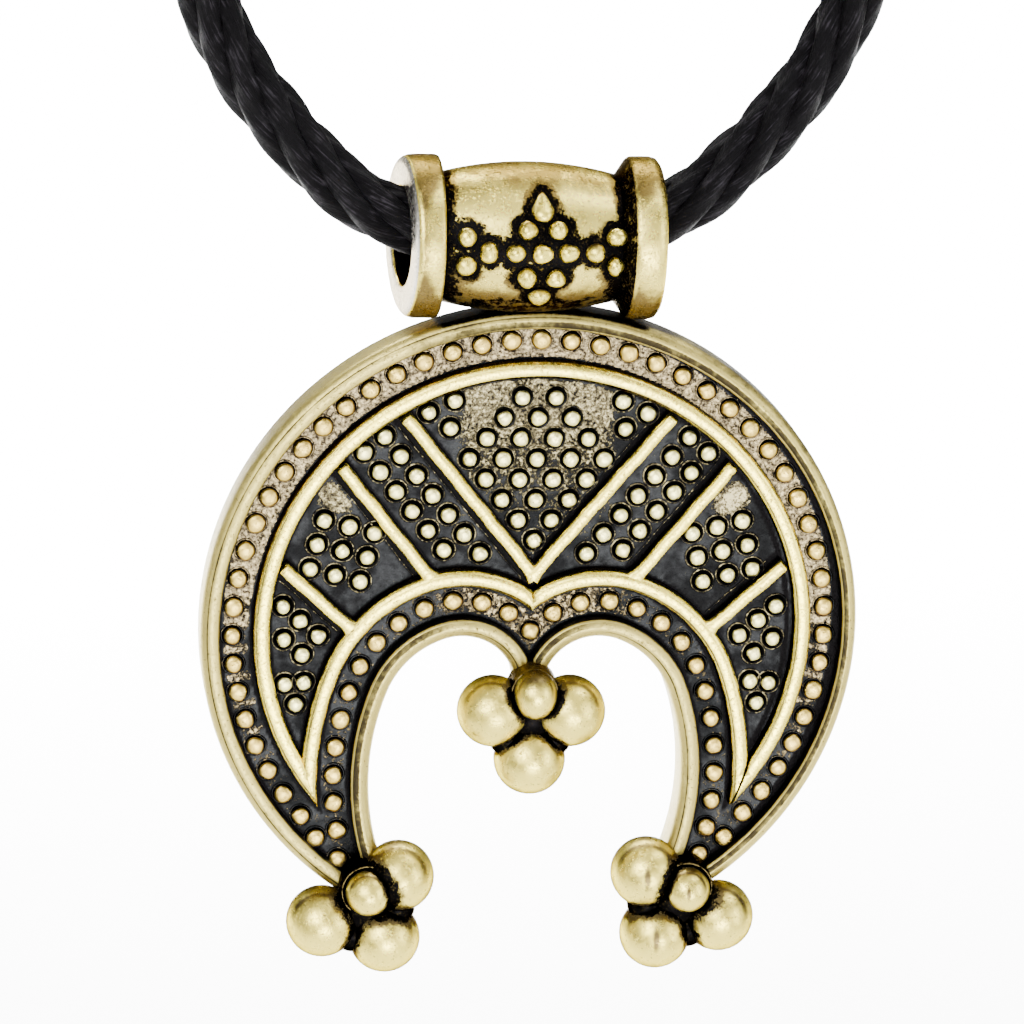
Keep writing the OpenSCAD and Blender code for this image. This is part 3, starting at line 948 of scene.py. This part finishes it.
class PENDANT_OT_stage(bpy.types.Operator):
    """Makes the floor, the lights and the camera"""
    bl_idname = "pendant.stage"
    bl_label = "Stage and Camera"

    def execute(self, context):
        self.camera(context.scene)
        self.paper(context.scene)
        self.lamps(context.scene)
        self.sky(context.scene)
        return {"FINISHED"}

    def camera(self, scene):
        s = studio()
        target = Vector(s.target)
        back = Vector((math.sin(s.azimuth) * math.cos(s.elevation),
                       -math.cos(s.azimuth) * math.cos(s.elevation), math.sin(s.elevation)))
        lens = bpy.data.cameras.new("photo_camera")
        lens.lens = s.lens
        lens.sensor_width = 36.0
        lens.clip_start = 0.01
        lens.clip_end = 50.0
        camera = bpy.data.objects.new("photo_camera", lens)
        scene.collection.objects.link(camera)
        camera.matrix_world = (Matrix.Translation(target + back * s.distance)
                               @ (-back).to_track_quat("-Z", "Y").to_matrix().to_4x4()
                               @ Matrix.Rotation(s.roll, 4, "Z"))
        scene.camera = camera

    def paper(self, scene):
        """The pale floor, well below the pendant."""
        mesh = bpy.data.meshes.new("studio_floor")
        size = 8.0
        mesh.from_pydata([(-size, -size, 0), (size, -size, 0), (size, size, 0), (-size, size, 0)],
                         [], [(0, 1, 2, 3)])
        floor = bpy.data.objects.new("studio_floor", mesh)
        floor.location = (0, 0, PAPER_Z)
        scene.collection.objects.link(floor)
        f = Finish(bpy.data.materials.new("studio_paper"))
        soft = f.noise(f.place(1.0), 3.0, 3.0)
        tone = f.mixed(soft * 0.04, colours().floor, PAPER_SHADE)
        mesh.materials.append(f.surface(Base_Color=tone, Roughness=0.9))

    def lamps(self, scene):
        s = studio()
        middle = Vector((0, 0, -0.18))
        for name, spot, aim, width, height, power in (
                ("key_softbox", (-0.30, -0.55, 0.12), middle, 0.45, 0.45, s.key),
                ("fill_softbox", (0.50, -0.35, -0.12), middle, 0.25, 0.5, s.key * 0.35),
                ("top_softbox", (0.05, -0.1, 0.4), middle, 0.5, 0.3, s.key * 0.07),
                ("low_softbox", (0.07, -0.62, -0.36), middle, 0.34, 0.26, s.key * 0.75),
                ("right_softbox", (0.26, -0.03, 0.26), middle, 0.24, 0.24, s.key * 0.2),
                ("floor_light", (0.0, 1.5, 0.9), Vector((0, 1.5, PAPER_Z)), 2.0, 1.6, s.floor_light)):
            lamp = bpy.data.lights.new(name, "AREA")
            lamp.shape = "RECTANGLE"
            lamp.size = width
            lamp.size_y = height
            lamp.energy = power
            lamp.spread = math.radians(100 if name == "floor_light" else 160)
            lit = bpy.data.objects.new(name, lamp)
            lit.location = spot
            lit.rotation_euler = (aim - Vector(spot)).to_track_quat("-Z", "Y").to_euler()
            lit.visible_camera = False
            scene.collection.objects.link(lit)

    def sky(self, scene):
        """Light from all round, stronger from the front and from below."""
        world = bpy.data.worlds.new("studio_world")
        f = Finish(world)
        way = f.node("ShaderNodeSeparateXYZ", {},
                     {"Vector": f.wire("ShaderNodeTexCoord", {}, {}, "Generated")})
        front = f.step(Wire(f, way.outputs["Y"]) * -1, -0.25, 0.8)
        low = 1 - f.step(Wire(f, way.outputs["Z"]), 0.1, 0.25)
        light = (front * 0.5 + 0.26) * (1 - low) + low * 0.8
        glow = f.wire("ShaderNodeBackground", {},
                      {"Color": SKY_COLOUR, "Strength": light * studio().world}, "Background")
        f.node("ShaderNodeOutputWorld", {}, {"Surface": glow})
        scene.world = world


def cord_line():
    """The cord's centreline from the clasp through the bail and back, in mm, closest near the bail."""
    half = np.array(HALF_ROUTE, float)
    route = np.concatenate([half[::-1] * [-1, 1], [[0, 0]], half])
    padded = np.concatenate([[2 * route[0] - route[1]], route, [2 * route[-1] - route[-2]]])
    spots = []
    for i in range(len(route) - 1):
        a, b, c, d = padded[i:i + 4]
        for t in np.linspace(0, 1, 24, endpoint=False):
            spots.append(0.5 * (2 * b + (c - a) * t + (2 * a - 5 * b + 4 * c - d) * t * t
                                + (3 * b - a - 3 * c + d) * t ** 3))
    spots = np.array(spots + [route[-1]])
    run = np.concatenate([[0], np.cumsum(np.hypot(*np.diff(spots, axis=0).T))])
    middle = run[-1] / 2
    dense = np.arange(FINE_STEP / 2, FINE_REACH, FINE_STEP)
    far = np.linspace(dense[-1], middle, int((middle - dense[-1]) / COARSE_STEP) + 1)[1:]
    away = np.concatenate([dense, far])
    even = np.concatenate([middle - away[::-1], middle + away])
    line = np.stack([np.interp(even, run, spots[:, 0]), np.interp(even, run, spots[:, 1])], axis=1)
    return line, even


class PENDANT_OT_cord(bpy.types.Operator):
    """Makes the twisted black cord"""
    bl_idname = "pendant.cord"
    bl_label = "Cord"

    def execute(self, context):
        c = cord_sizes()
        line, run = cord_line()
        shape = Shape()
        for k in range(c.strands):
            self.strand(shape, line, run, k)
        made = shape.piece("twisted_cord", waxed_thread(), sharp=0)
        settle(made, "cord", "cord")
        path = [((p[0] + CORD_SHIFT) * MM, 0.0, (p[1] + BAIL_Z) * MM) for p in line[::3]]
        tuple(path[0])
        return {"FINISHED"}

    def strand(self, shape, line, run, k):
        """Strand k of the cord, with its yarns, whose twist turns over inside the bail."""
        c = cord_sizes()
        radius = c.diameter / MM / 2
        ahead = np.gradient(line, run, axis=0)
        ahead /= np.hypot(*ahead.T)[:, None]
        across = np.stack([-ahead[:, 1], ahead[:, 0]], axis=1)
        away = np.abs(run - run[-1] / 2)
        near = np.clip((FINE_REACH + 4 - away) / 8, 0.3, 1)[:, None]
        sides = 28
        phi = np.linspace(-math.pi, math.pi, sides, endpoint=False)
        lay = 2 * math.pi * (k / c.strands + away * MM / c.pitch) + 0.4
        spin = 2 * math.pi * away * MM / c.yarn_pitch + 2.4 * k
        inner = np.clip(np.cos(lay), 0, 1)[:, None]
        yarns = 1 + near * (0.05 + 0.08 * inner) * np.cos(YARNS * (phi[None, :] + spin[:, None]))
        offset = radius * (STRAND_AT + 0.025 * np.sin(away * 0.55 + 2.1 * k))
        size = radius * STRAND_SIZE * yarns * (1 + 0.05 * np.sin(away * 0.8 + 1.7 * k)[:, None])
        u = (offset * np.cos(lay))[:, None] + size * np.cos(lay[:, None] + phi[None, :])
        v = (offset * np.sin(lay))[:, None] + size * np.sin(lay[:, None] + phi[None, :])
        x = line[:, 0:1] + across[:, 0:1] * u + CORD_SHIFT
        z = line[:, 1:2] + across[:, 1:2] * u + BAIL_Z
        thread = np.stack([rings(run + 31.0 * k, sides),
                           (phi[None, :] + spin[:, None]) * radius * 0.4,
                           np.full(u.shape, 7.0 * k)], axis=2)
        shape.add(np.stack([x, v, z], axis=2), tube_faces(len(line), sides), thread=thread)


class PENDANT_OT_clasp(bpy.types.Operator):
    """Makes the closing barrel behind the neck"""
    bl_idname = "pendant.clasp"
    bl_label = "Closing Barrel"

    def execute(self, context):
        c = cord_sizes()
        r = c.clasp_diameter / MM / 2
        h = c.clasp_length / MM / 2
        half = [(0.0, h - 0.6), (1.72, h - 0.6), (1.75, h - 0.25), (1.95, h), (r - 0.35, h),
                (r - 0.05, h - 0.3), (r, h - 0.7), (r, h - 1.5), (r - 0.25, h - 1.7),
                (r - 0.25, h - 2.1), (r, h - 2.3), (r, 1.0), (r - 0.12, 0.75), (r, 0.5),
                (r, 0.2), (r - 0.3, 0.0)]
        radii, along = np.array(half + [(p[0], -p[1]) for p in half[-2::-1]]).T
        phi = circle(64)
        y = np.outer(radii, np.cos(phi))
        z = np.outer(radii, np.sin(phi)) + r
        grooves = (radii < r - 0.2) & (np.abs(along) < h - 0.6)
        shape = Shape()
        shape.add(np.stack([rings(along, len(phi)), y, z], axis=2),
                  grid_faces(len(radii), len(phi), wrap=True),
                  rings(np.where(grooves, 0.1, 0.95), len(phi)), 0.2)
        made = shape.piece("clasp_barrel", antique_gold("clasp_gold", colours().pale))
        settle(made, "cord", "clasp")
        return {"FINISHED"}


class PENDANT_OT_crescent(bpy.types.Operator):
    """Makes the crescent's edge, back and floor"""
    bl_idname = "pendant.crescent"
    bl_label = "Crescent"

    def execute(self, context):
        width = bands()[0]
        profile = rim_profile(width)
        tight = (width + 0.15, 0.12)
        shape = Shape()
        outer = sweep(shape, outer_stations(), profile, rim_paint, slim=RIM_SLIM)
        right = sweep(shape, notch_stations(1), profile, rim_paint, squeeze=tight, flip=True)
        left = sweep(shape, notch_stations(-1), profile, rim_paint, squeeze=tight)
        back = np.concatenate([outer[:, 0], right[::-1, 0], left[:, 0]])
        shape.add(back, [list(range(len(back)))], 0.8, 0.35)
        for ring, notch in ((outer[-1], right[-1]), (outer[0], left[-1])):
            cap = np.concatenate([ring, notch[::-1]])
            shape.add(cap, [list(range(len(cap)))], 0.3, 0.8)
        gold = antique_gold("rim_gold", (0.50, 0.41, 0.115), brown=(0.027, 0.021, 0.010), gloss=0.36,
                            black_gloss=0.5, speckle=0.3)
        cast(shape.piece("crescent_rim", gold, sharp=50))
        cast(self.floor())
        return {"FINISHED"}

    def floor(self):
        """The sunk floor, a grid inside the rims that stops under the horns' balls."""
        reach = moon_r() + 0.1
        axis = np.linspace(-reach, reach, int(2 * reach / FLOOR_STEP))
        x, z = np.meshgrid(axis, axis, indexing="ij")
        past = np.abs(x) * turn(-120)[0] + z * turn(-120)[1]
        inside = (crescent_inset(x, z) > FLOOR_INSET) & (past < FLOOR_STOP)
        cells = inside[:-1, :-1] & inside[1:, :-1] & inside[1:, 1:] & inside[:-1, 1:]
        used = np.zeros_like(inside)
        for i in (0, 1):
            for k in (0, 1):
                used[i:used.shape[0] - 1 + i, k:used.shape[1] - 1 + k] |= cells
        number = np.full(x.shape, -1)
        number[used] = np.arange(used.sum())
        i, k = np.nonzero(cells)
        faces = np.stack([number[i, k], number[i + 1, k], number[i + 1, k + 1], number[i, k + 1]],
                         axis=1).tolist()
        px, pz = x[used], z[used]
        ripple = 0.014 * np.sin(px * 2.1 + 1.3 * np.sin(pz * 1.7)) * np.sin(pz * 2.3 + px)
        shape = Shape()
        shape.add(to_moon(px, FLOOR_Y + ripple, pz), faces, *floor_wear_and_shadow(px, pz))
        return shape.piece("crescent_floor", sunk_floor(), sharp=0)


class PENDANT_OT_ribs(bpy.types.Operator):
    """Makes the ribs and the straight spokes"""
    bl_idname = "pendant.ribs"
    bl_label = "Ribs and Spokes"

    def execute(self, context):
        start = bands()[1]
        profile = rib_profile(start, sizes().rib_width / MM, soft=0.75)
        shape = Shape()
        ring = [(base - inward * RIB_SHIFT * max(-inward[0], 0) ** 2, inward, room)
                for base, inward, room in outer_stations() if room > start]
        sweep(shape, ring, profile, rib_paint)
        for side in (1, -1):
            near = [station for station in notch_stations(side) if station[2] > start]
            sweep(shape, near, profile, rib_paint, flip=side > 0)
        for spoke in SPOKES:
            a, b = spoke_ends(spoke)
            longer = unit(b - a) * RIB_SHIFT * unit(b)[0] ** 2
            self.spoke(shape, a, b + longer, 1)
            self.spoke(shape, a, b, -1)
        gold = antique_gold("rib_gold", colours().pale, brown=(0.055, 0.040, 0.017), gloss=0.23,
                            rim_tint=(0.5, 0.45, 0.36))
        cast(shape.piece("ribs_and_spokes", gold, sharp=60))
        return {"FINISHED"}

    def spoke(self, shape, a, b, side):
        """A spoke that runs into the inner rib and ends ragged before the outer one."""
        width = sizes().spoke_width / MM
        run = unit(b - a)
        a = a - run * (0.15 if a[0] < 1 else 0.3)
        length = np.hypot(*(b - a))
        t = np.concatenate([np.linspace(0, length - 0.3, int(length / 0.2)),
                            length - np.array([0.18, 0.1, 0.05, 0.01, 0])])
        full = 0.25 + 0.75 * np.sqrt(1 - (1 - np.clip((length - t) / 0.2, 0, 1)) ** 2)
        rng = np.random.default_rng(int(abs(a[0] * 100)) + side + 2)
        profile = np.array(rib_profile(-width / 2, width, soft=0.55))
        profile[np.abs(profile[:, 0]) < width * 0.4, 3:] = 0.1
        shift = 0.008 * rng.standard_normal(len(t)) + 0.02 * np.sin(t * 2.2 + 6 * rng.random())
        flare = 1 + 0.5 * np.exp(-((t / 0.35) ** 2))
        across = profile[None, :, 0] * (flare * (0.85 + 0.15 * full))[:, None] + shift[:, None]
        spots = beside_line(a, run, t, across)
        rise = (profile[None, :, 1] - FOOT_Y) * full[:, None] * (0.94 if side > 0 else 0.92)
        bare = profile[None, :, 2] * np.clip(full * 1.3, 0, 1)[:, None]
        # The olive band of painted dark reflection goes on the side that looks left
        first_looks_left = run[1] * side < 0
        tarnish = np.tile(profile[:, 3] if first_looks_left else profile[:, 4], len(t))
        shape.add(to_moon(spots[:, :, 0] * side, FOOT_Y + rise, spots[:, :, 1]),
                  grid_faces(len(t), len(profile), flip=side < 0), bare, tarnish)


class PENDANT_OT_beads(bpy.types.Operator):
    """Makes the beads of the channels and of the panels"""
    bl_idname = "pendant.beads"
    bl_label = "Beads"

    def execute(self, context):
        s = sizes()
        channel = Shape()
        bead_field(channel, channel_places(), s.channel_bead / MM, 0.8)
        gold = antique_gold("peach_beads", colours().peach, brown=(0.30, 0.18, 0.055), jag=0.3,
                            rim_tint=(0.55, 0.45, 0.32))
        cast(channel.piece("channel_beads", gold, sharp=60))
        panel = Shape()
        bead_field(panel, panel_places(), s.panel_bead / MM, 0.3)
        gold = antique_gold("pale_beads", (0.96, 0.88, 0.36), jag=0.35, rim_tint=(0.6, 0.56, 0.45))
        cast(panel.piece("panel_beads", gold, sharp=60))
        low = Shape()
        collars(low, channel_places(), s.channel_bead / MM / 2 + 0.07, 0.3, 1.0)
        collars(low, panel_places(), s.panel_bead / MM / 2 + 0.19, 0.72, 0.0)
        spoke_ridges(low)
        cast(low.piece("bead_collars", bpy.data.materials["sunk_floor"], sharp=0))
        return {"FINISHED"}


class PENDANT_OT_balls(bpy.types.Operator):
    """Makes the three ball clusters"""
    bl_idname = "pendant.balls"
    bl_label = "Ball Clusters"

    def execute(self, context):
        finish = antique_gold("ball_gold", (0.88, 0.72, 0.145), brown=(0.13, 0.098, 0.036), jag=0.9,
                              jag_scale=1.8, low=0.36, high=0.44, gloss=0.28, black_gloss=0.22,
                              speckle=0.35, edge_brown=0.7, edge_width=0.3,
                              rim_tint=(0.32, 0.29, 0.23))
        for name, cluster in CLUSTERS.items():
            shape = Shape()
            self.balls(shape, cluster)
            self.webs(shape, cluster)
            cast(shape.piece(name, finish, sharp=0))
        return {"FINISHED"}

    def put(self, cluster, x, z):
        """A place of the tilted cluster, from the crescent's centre."""
        tilt = math.radians(cluster["tilt"])
        c, n = math.cos(tilt), math.sin(tilt)
        at = cluster["at"]
        return at[0] + x * c + z * n, at[1] - x * n + z * c

    def balls(self, shape, cluster):
        """The side balls, the low ball and the small one, black where they meet."""
        big, small = sizes().ball / MM / 2, sizes().small_ball / MM / 2
        spread = cluster["spread"]
        centres = [(*self.put(cluster, spread, 0), BALL_Y, big),
                   (*self.put(cluster, -spread, 0), BALL_Y, big),
                   (*self.put(cluster, 0, -cluster["low"]), BALL_Y, big),
                   (*self.put(cluster, *cluster["front"]), SMALL_BALL_Y, small)]
        for i, (x, z, y, r) in enumerate(centres):
            points, faces = ball_points(r)
            egg = cluster["egg"] and r == small
            points = points * (EGG if egg else 1) + [x, y, z]
            gap = np.full(len(points), FAR)
            for k, (ox, oz, oy, other) in enumerate(centres):
                if k != i:
                    gap = np.minimum(gap, np.linalg.norm(points - [ox, oy, oz], axis=1) - other)
            reach = cluster["reach"] if r == big else cluster["reach"] / 2
            across, facing, up = ((points - [x, y, z]) * [1, -1, 1] / r).T
            tarnish = self.tarnish(across, facing, up, 0.4 if egg else 0.75)
            if i in cluster["smudged"]:
                smudge = ((across + 0.1) / 0.12) ** 2 + ((up - 0.12) / 0.42) ** 2
                tarnish = np.maximum(tarnish, 1.1 * np.exp(-smudge) * (facing > 0))
            shape.add(to_moon(points[:, 0], points[:, 1], points[:, 2]), faces,
                      np.clip(gap / reach, 0, 1), tarnish)

    def tarnish(self, across, facing, up, cap):
        """Brown on a ball's top above cap, partly tarnish and partly painted shade; a painted dark
        reflection along an arc inside its upper edge; and painted shade round its rim, as seen from the
        camera.
        """
        # How squarely each point faces the camera, which places the painted arc and rim shade
        seen = facing * 0.954 - across * 0.131 + up * 0.27
        arc = np.exp(-((seen - 0.62) / 0.12) ** 2) * np.clip(up * 1.6 + 0.2, 0, 1)
        brown = np.maximum(np.clip(up * 1.7 - cap, 0, 1) * 0.85, 0.9 * arc)
        return np.maximum(brown, np.clip(1.05 - 1.6 * seen, 0, 0.85))

    def webs(self, shape, cluster):
        """The black web between the balls, with a low collar round the small ball."""
        for side in (1, -1):
            points, faces = ball_points(FILLING, 20, 32)
            x, z = self.put(cluster, side * (cluster["spread"] / 2 + 0.22), -cluster["low"] / 2 - 0.22)
            shape.add(to_moon(*(points + [x, BALL_Y, z]).T), faces, 0.1, 0.7)
        size, wide, top = cluster["web"]
        disc = [(0, 0.8, 0), (1.6 * size, 0.8, 0), (1.8 * size, 0.6, 0), (1.9 * size, -0.9, 0),
                (1.9 * size, -1.5, 0), (1.8 * size, -2.1, 0.1), (1.5 * size, -2.6, 0.15),
                (1.0 * size, -2.85, 0.1), (0, -2.9, 0)]
        collar = [(wide, -1.2, 0), (wide - 0.02, -2.5, 0.1), (wide - 0.07, -2.78, 0.3),
                  (wide - 0.13, -2.84, 0.5), (wide - 0.19, -2.78, 0.2), (wide - 0.22, -2.5, 0),
                  (0, -2.4, 0)]
        phi = circle(64)
        for section, place, upper in ((disc, (0, -0.5), 0.0), (collar, cluster["front"], top)):
            radii, depths, bare = np.array(section).T
            spots = rings_at(*self.put(cluster, *place), radii, depths, phi)
            bare = np.maximum(bare[:, None], upper * np.clip(np.sin(phi) * 2 - 0.4, 0, 1)[None, :])
            shape.add(to_moon(*spots), grid_faces(len(section), len(phi), wrap=True), bare, 0.7)


def barrel_radius(x):
    s = sizes()
    big, small = s.barrel / MM / 2, s.barrel_end / MM / 2
    inner = s.bail_length / MM / 2 - RIGHT_FLANGE
    return big - (big - small) * (np.abs(x) / inner) ** 2


class PENDANT_OT_bail(bpy.types.Operator):
    """Makes the barrel bail with its flanges and beads"""
    bl_idname = "pendant.bail"
    bl_label = "Barrel Bail"

    def execute(self, context):
        cast(self.barrel())
        cast(self.beads())
        return {"FINISHED"}

    def ends(self):
        """Half the bail's length, and how far from its middle the left and right flanges begin."""
        half = sizes().bail_length / MM / 2
        return half, half - LEFT_FLANGE, half - RIGHT_FLANGE

    def barrel(self):
        half, left_in, _ = self.ends()
        section = self.section()
        sides = 144
        phi = circle(sides)
        along, radii = np.array(section).T
        y = -np.outer(radii, np.cos(phi))
        z = np.outer(radii, np.sin(phi))
        x = rings(along, sides)
        lean = np.clip((-x - left_in - LEAN_START) / (half - left_in - LEAN_START), 0, 1)
        x = x + lean * END_LEAN * (0.5 - 0.5 * y / (sizes().flange / MM / 2))
        points = np.stack([x, y, z], axis=2).reshape(-1, 3)
        rows = len(section)
        faces = grid_faces(rows, sides, wrap=True)
        faces += [[(rows - 1) * sides + i, (rows - 1) * sides + (i + 1) % sides,
                   (i + 1) % sides, i] for i in range(sides)]
        shape = Shape()
        shape.add(points + [0, 0, BAIL_Z], faces,
                  *self.paint(points, along.repeat(sides), radii.repeat(sides)))
        gold = antique_gold("bail_gold", (0.86, 0.70, 0.15), brown=(0.17, 0.12, 0.035), jag=1.2,
                            jag_scale=1.5, low=0.42, high=0.48, gloss=0.25, speckle=0.5,
                            edge_brown=0.7, edge_width=0.3, relief=0.00003,
                            rim_tint=(0.45, 0.38, 0.26))
        return shape.piece("barrel_bail", gold, sharp=45)

    def beads(self):
        """The bail's lumpy beads and its drop."""
        shape = Shape()
        rng = np.random.default_rng(3)
        for spot, size in self.bead_spots():
            ball, faces = ball_points(size / 2, 16, 24)
            lumps = rng.normal(0, 0.05, 3)
            turned = rng.random(3) * PHASES
            ball = ball * (1 + sum(lump * np.sin(3.2 * ball[:, i:i + 1] / size * 2 + t)
                                   for i, (lump, t) in enumerate(zip(lumps, turned))))
            self.add_bead(shape, ball + spot, faces)
        self.add_bead(shape, *self.drop())
        gold = antique_gold("bail_bead_gold", colours().pale, brown=(0.22, 0.15, 0.04), jag=0.7,
                            jag_scale=2.0, gloss=0.25, rim_tint=(0.35, 0.29, 0.2))
        return shape.piece("bail_beads", gold, sharp=0)

    def section(self):
        """(x, radius) from the bore's left end over the outside to its right end."""
        half, left_in, right_in = self.ends()
        bore = sizes().bore / MM / 2
        r = sizes().flange / MM / 2
        left = [(-half + 0.9, bore), (-half + 0.3, bore + 0.03), (-half + 0.06, bore + 0.12),
                (-half, bore + 0.28)]
        for k in range(10):
            a = math.pi / 2 * k / 9
            left.append((-half + 1.2 * (1 - math.cos(a) ** 0.8), r - 0.6 + 0.6 * math.sin(a) ** 0.8))
        left += [(-left_in - 0.25, r), (-left_in - 0.08, r - 0.08), (-left_in, r - 0.28)]
        barrel = [(x, barrel_radius(x)) for x in np.linspace(-left_in, right_in - 0.3, 90)]
        right = [(right_in - 0.1, r - 0.75), (right_in + 0.3, r - 0.16), (right_in + 0.42, r - 0.05),
                 (right_in + 0.6, r), (half - 0.6, r), (half - 0.25, r - 0.1), (half - 0.06, r - 0.35),
                 (half, r - 0.7), (half, bore + 0.6), (half - 0.15, bore + 0.3),
                 (half - 0.5, bore + 0.08), (half - 0.9, bore), (0.0, bore - 0.02)]
        return left + barrel + right

    def paint(self, points, x, radii):
        """Where the bail is bare, where it is brown with tarnish and painted shade, and where a silver
        reflection is painted.
        """
        half, left_in, right_in = self.ends()
        r = sizes().flange / MM / 2
        bore = sizes().bore / MM / 2
        up = points[:, 2]
        on_barrel = (x > -left_in - 0.02) & (x < right_in - 0.15)
        # Black round the beads, at the flanges' roots, under the barrel and in the bore
        gap = np.full(len(points), FAR)
        for spot, size in self.bead_spots():
            gap = np.minimum(gap, np.linalg.norm(points - spot, axis=1) - size / 2)
        for spot in self.drop()[0][::7]:
            gap = np.minimum(gap, np.linalg.norm(points - spot, axis=1))
        low = np.clip(-up - 0.8, 0, 3)
        root = np.minimum(np.abs(x + left_in), np.abs(x - right_in + 0.2)) / (1 + 0.55 * low)
        gap = np.minimum(gap, np.where(on_barrel, root, FAR))
        under = np.where(on_barrel, np.clip((up + 3.45) / 1.2, 0.4, FAR), FAR)
        bare = np.minimum(np.clip(gap, 0, 1), under)
        cone = (x >= right_in - 0.15) & (x < right_in + 0.4)
        bare = np.where(cone, 0.3, bare)
        bare = np.where(radii < bore + 0.1, 0.0, bare)
        # Painted shade browns it on top and below, a painted dark reflection makes a streak on the left
        # flange, and a brown line runs round the right one
        tilt = up / np.maximum(radii, 0.1)
        tarnish = np.where(on_barrel, np.clip(tilt * 2.0 - 1.0, 0, 0.8),
                           np.clip(tilt * 2.2 - 1.05, 0, 0.9))
        tarnish = tarnish + np.clip(-tilt * 2.2 - 0.55, 0, 1)
        streak = np.exp(-((x + left_in + 1.45) / 0.35) ** 2) * (radii > r - 0.35)
        line = np.exp(-((x - right_in - 0.75) / 0.16) ** 2) * (radii > r - 0.1)
        # A pale silver reflection painted on the left end's face
        face = np.clip((0.5 - half - x) / 0.3, 0, 1) * np.clip((radii - bore - 0.04) / 0.1, 0, 1)
        return bare, (tarnish + 0.75 * streak + 0.9 * line) * (1 - face) - face

    def add_bead(self, shape, points, faces):
        """A bead of the bail, black round its foot, and browner towards its top, partly tarnish and
        partly painted shade.
        """
        rise = np.hypot(points[:, 1], points[:, 2]) - barrel_radius(points[:, 0])
        up = (points[:, 2] - points[:, 2].min()) / np.ptp(points[:, 2])
        shape.add(points + [0, 0, BAIL_Z], faces, np.clip(rise / 0.22, 0, 1), 0.1 + 0.7 * up ** 3)

    def drop(self):
        """Points and faces of the pointed drop above the beads."""
        middle, tip, wide = DROP
        count, sides = 22, 20
        up = middle - wide + (tip - middle + wide) * np.linspace(0, 1, count)
        below = np.sqrt(np.clip(wide ** 2 - (up - middle) ** 2, 0, None))
        above = wide * np.clip((tip - up) / (tip - middle), 0, 1) ** 0.7
        width = np.maximum(np.where(up < middle, below, above), 0.02)
        phi = circle(sides)
        z = rings(up, sides)
        x = PATTERN_SHIFT + np.outer(width, np.cos(phi))
        base = np.sqrt(barrel_radius(PATTERN_SHIFT) ** 2 - z ** 2)
        y = -base - np.outer(width * 0.95, np.sin(phi)) - 0.05
        return np.stack([x, y, z], axis=2).reshape(-1, 3), tube_faces(count, sides)

    def bead_spots(self):
        """Middle and diameter of each bead on the bail."""
        size = sizes().channel_bead / MM * 1.06
        made = []
        for across, up in BAIL_BEADS:
            x = across + PATTERN_SHIFT
            r = barrel_radius(x)
            made.append((np.array([x, -math.sqrt(r * r - up * up) - 0.08, up]), size))
        return made


class VIEW3D_PT_pendant(bpy.types.Panel):
    """Lists the parts of the pendant"""
    bl_idname = "VIEW3D_PT_pendant"
    bl_label = "Crescent Moon Pendant"
    bl_space_type = "VIEW_3D"
    bl_region_type = "UI"
    bl_category = "Pendant"

    def draw(self, context):
        for part in PARTS:
            self.layout.operator(part.bl_idname)


GROUPS = {"pendant_sizes": PendantSizes, "cord_sizes": CordSizes,
          "pendant_colours": PendantColours, "studio_settings": StudioSettings}
PARTS = (PENDANT_OT_stage, PENDANT_OT_cord, PENDANT_OT_clasp,
         PENDANT_OT_bail, PENDANT_OT_crescent, PENDANT_OT_ribs,
         PENDANT_OT_beads, PENDANT_OT_balls)


def register():
    for made in (*GROUPS.values(), *PARTS, VIEW3D_PT_pendant):
        bpy.utils.register_class(made)
    for name, group in GROUPS.items():
        setattr(bpy.types.Scene, name, bpy.props.PointerProperty(type=group))


def unregister():
    for name in GROUPS:
        delattr(bpy.types.Scene, name)
    for made in (VIEW3D_PT_pendant, *reversed(PARTS), *reversed(tuple(GROUPS.values()))):
        bpy.utils.unregister_class(made)


def main():
    register()
    bpy.ops.pendant.stage()
    bpy.ops.pendant.clasp()
    bpy.ops.pendant.cord()
    bpy.ops.pendant.bail()
    bpy.ops.pendant.crescent()
    bpy.ops.pendant.ribs()
    bpy.ops.pendant.beads()
    bpy.ops.pendant.balls()


if __name__ == "__main__":
    main()
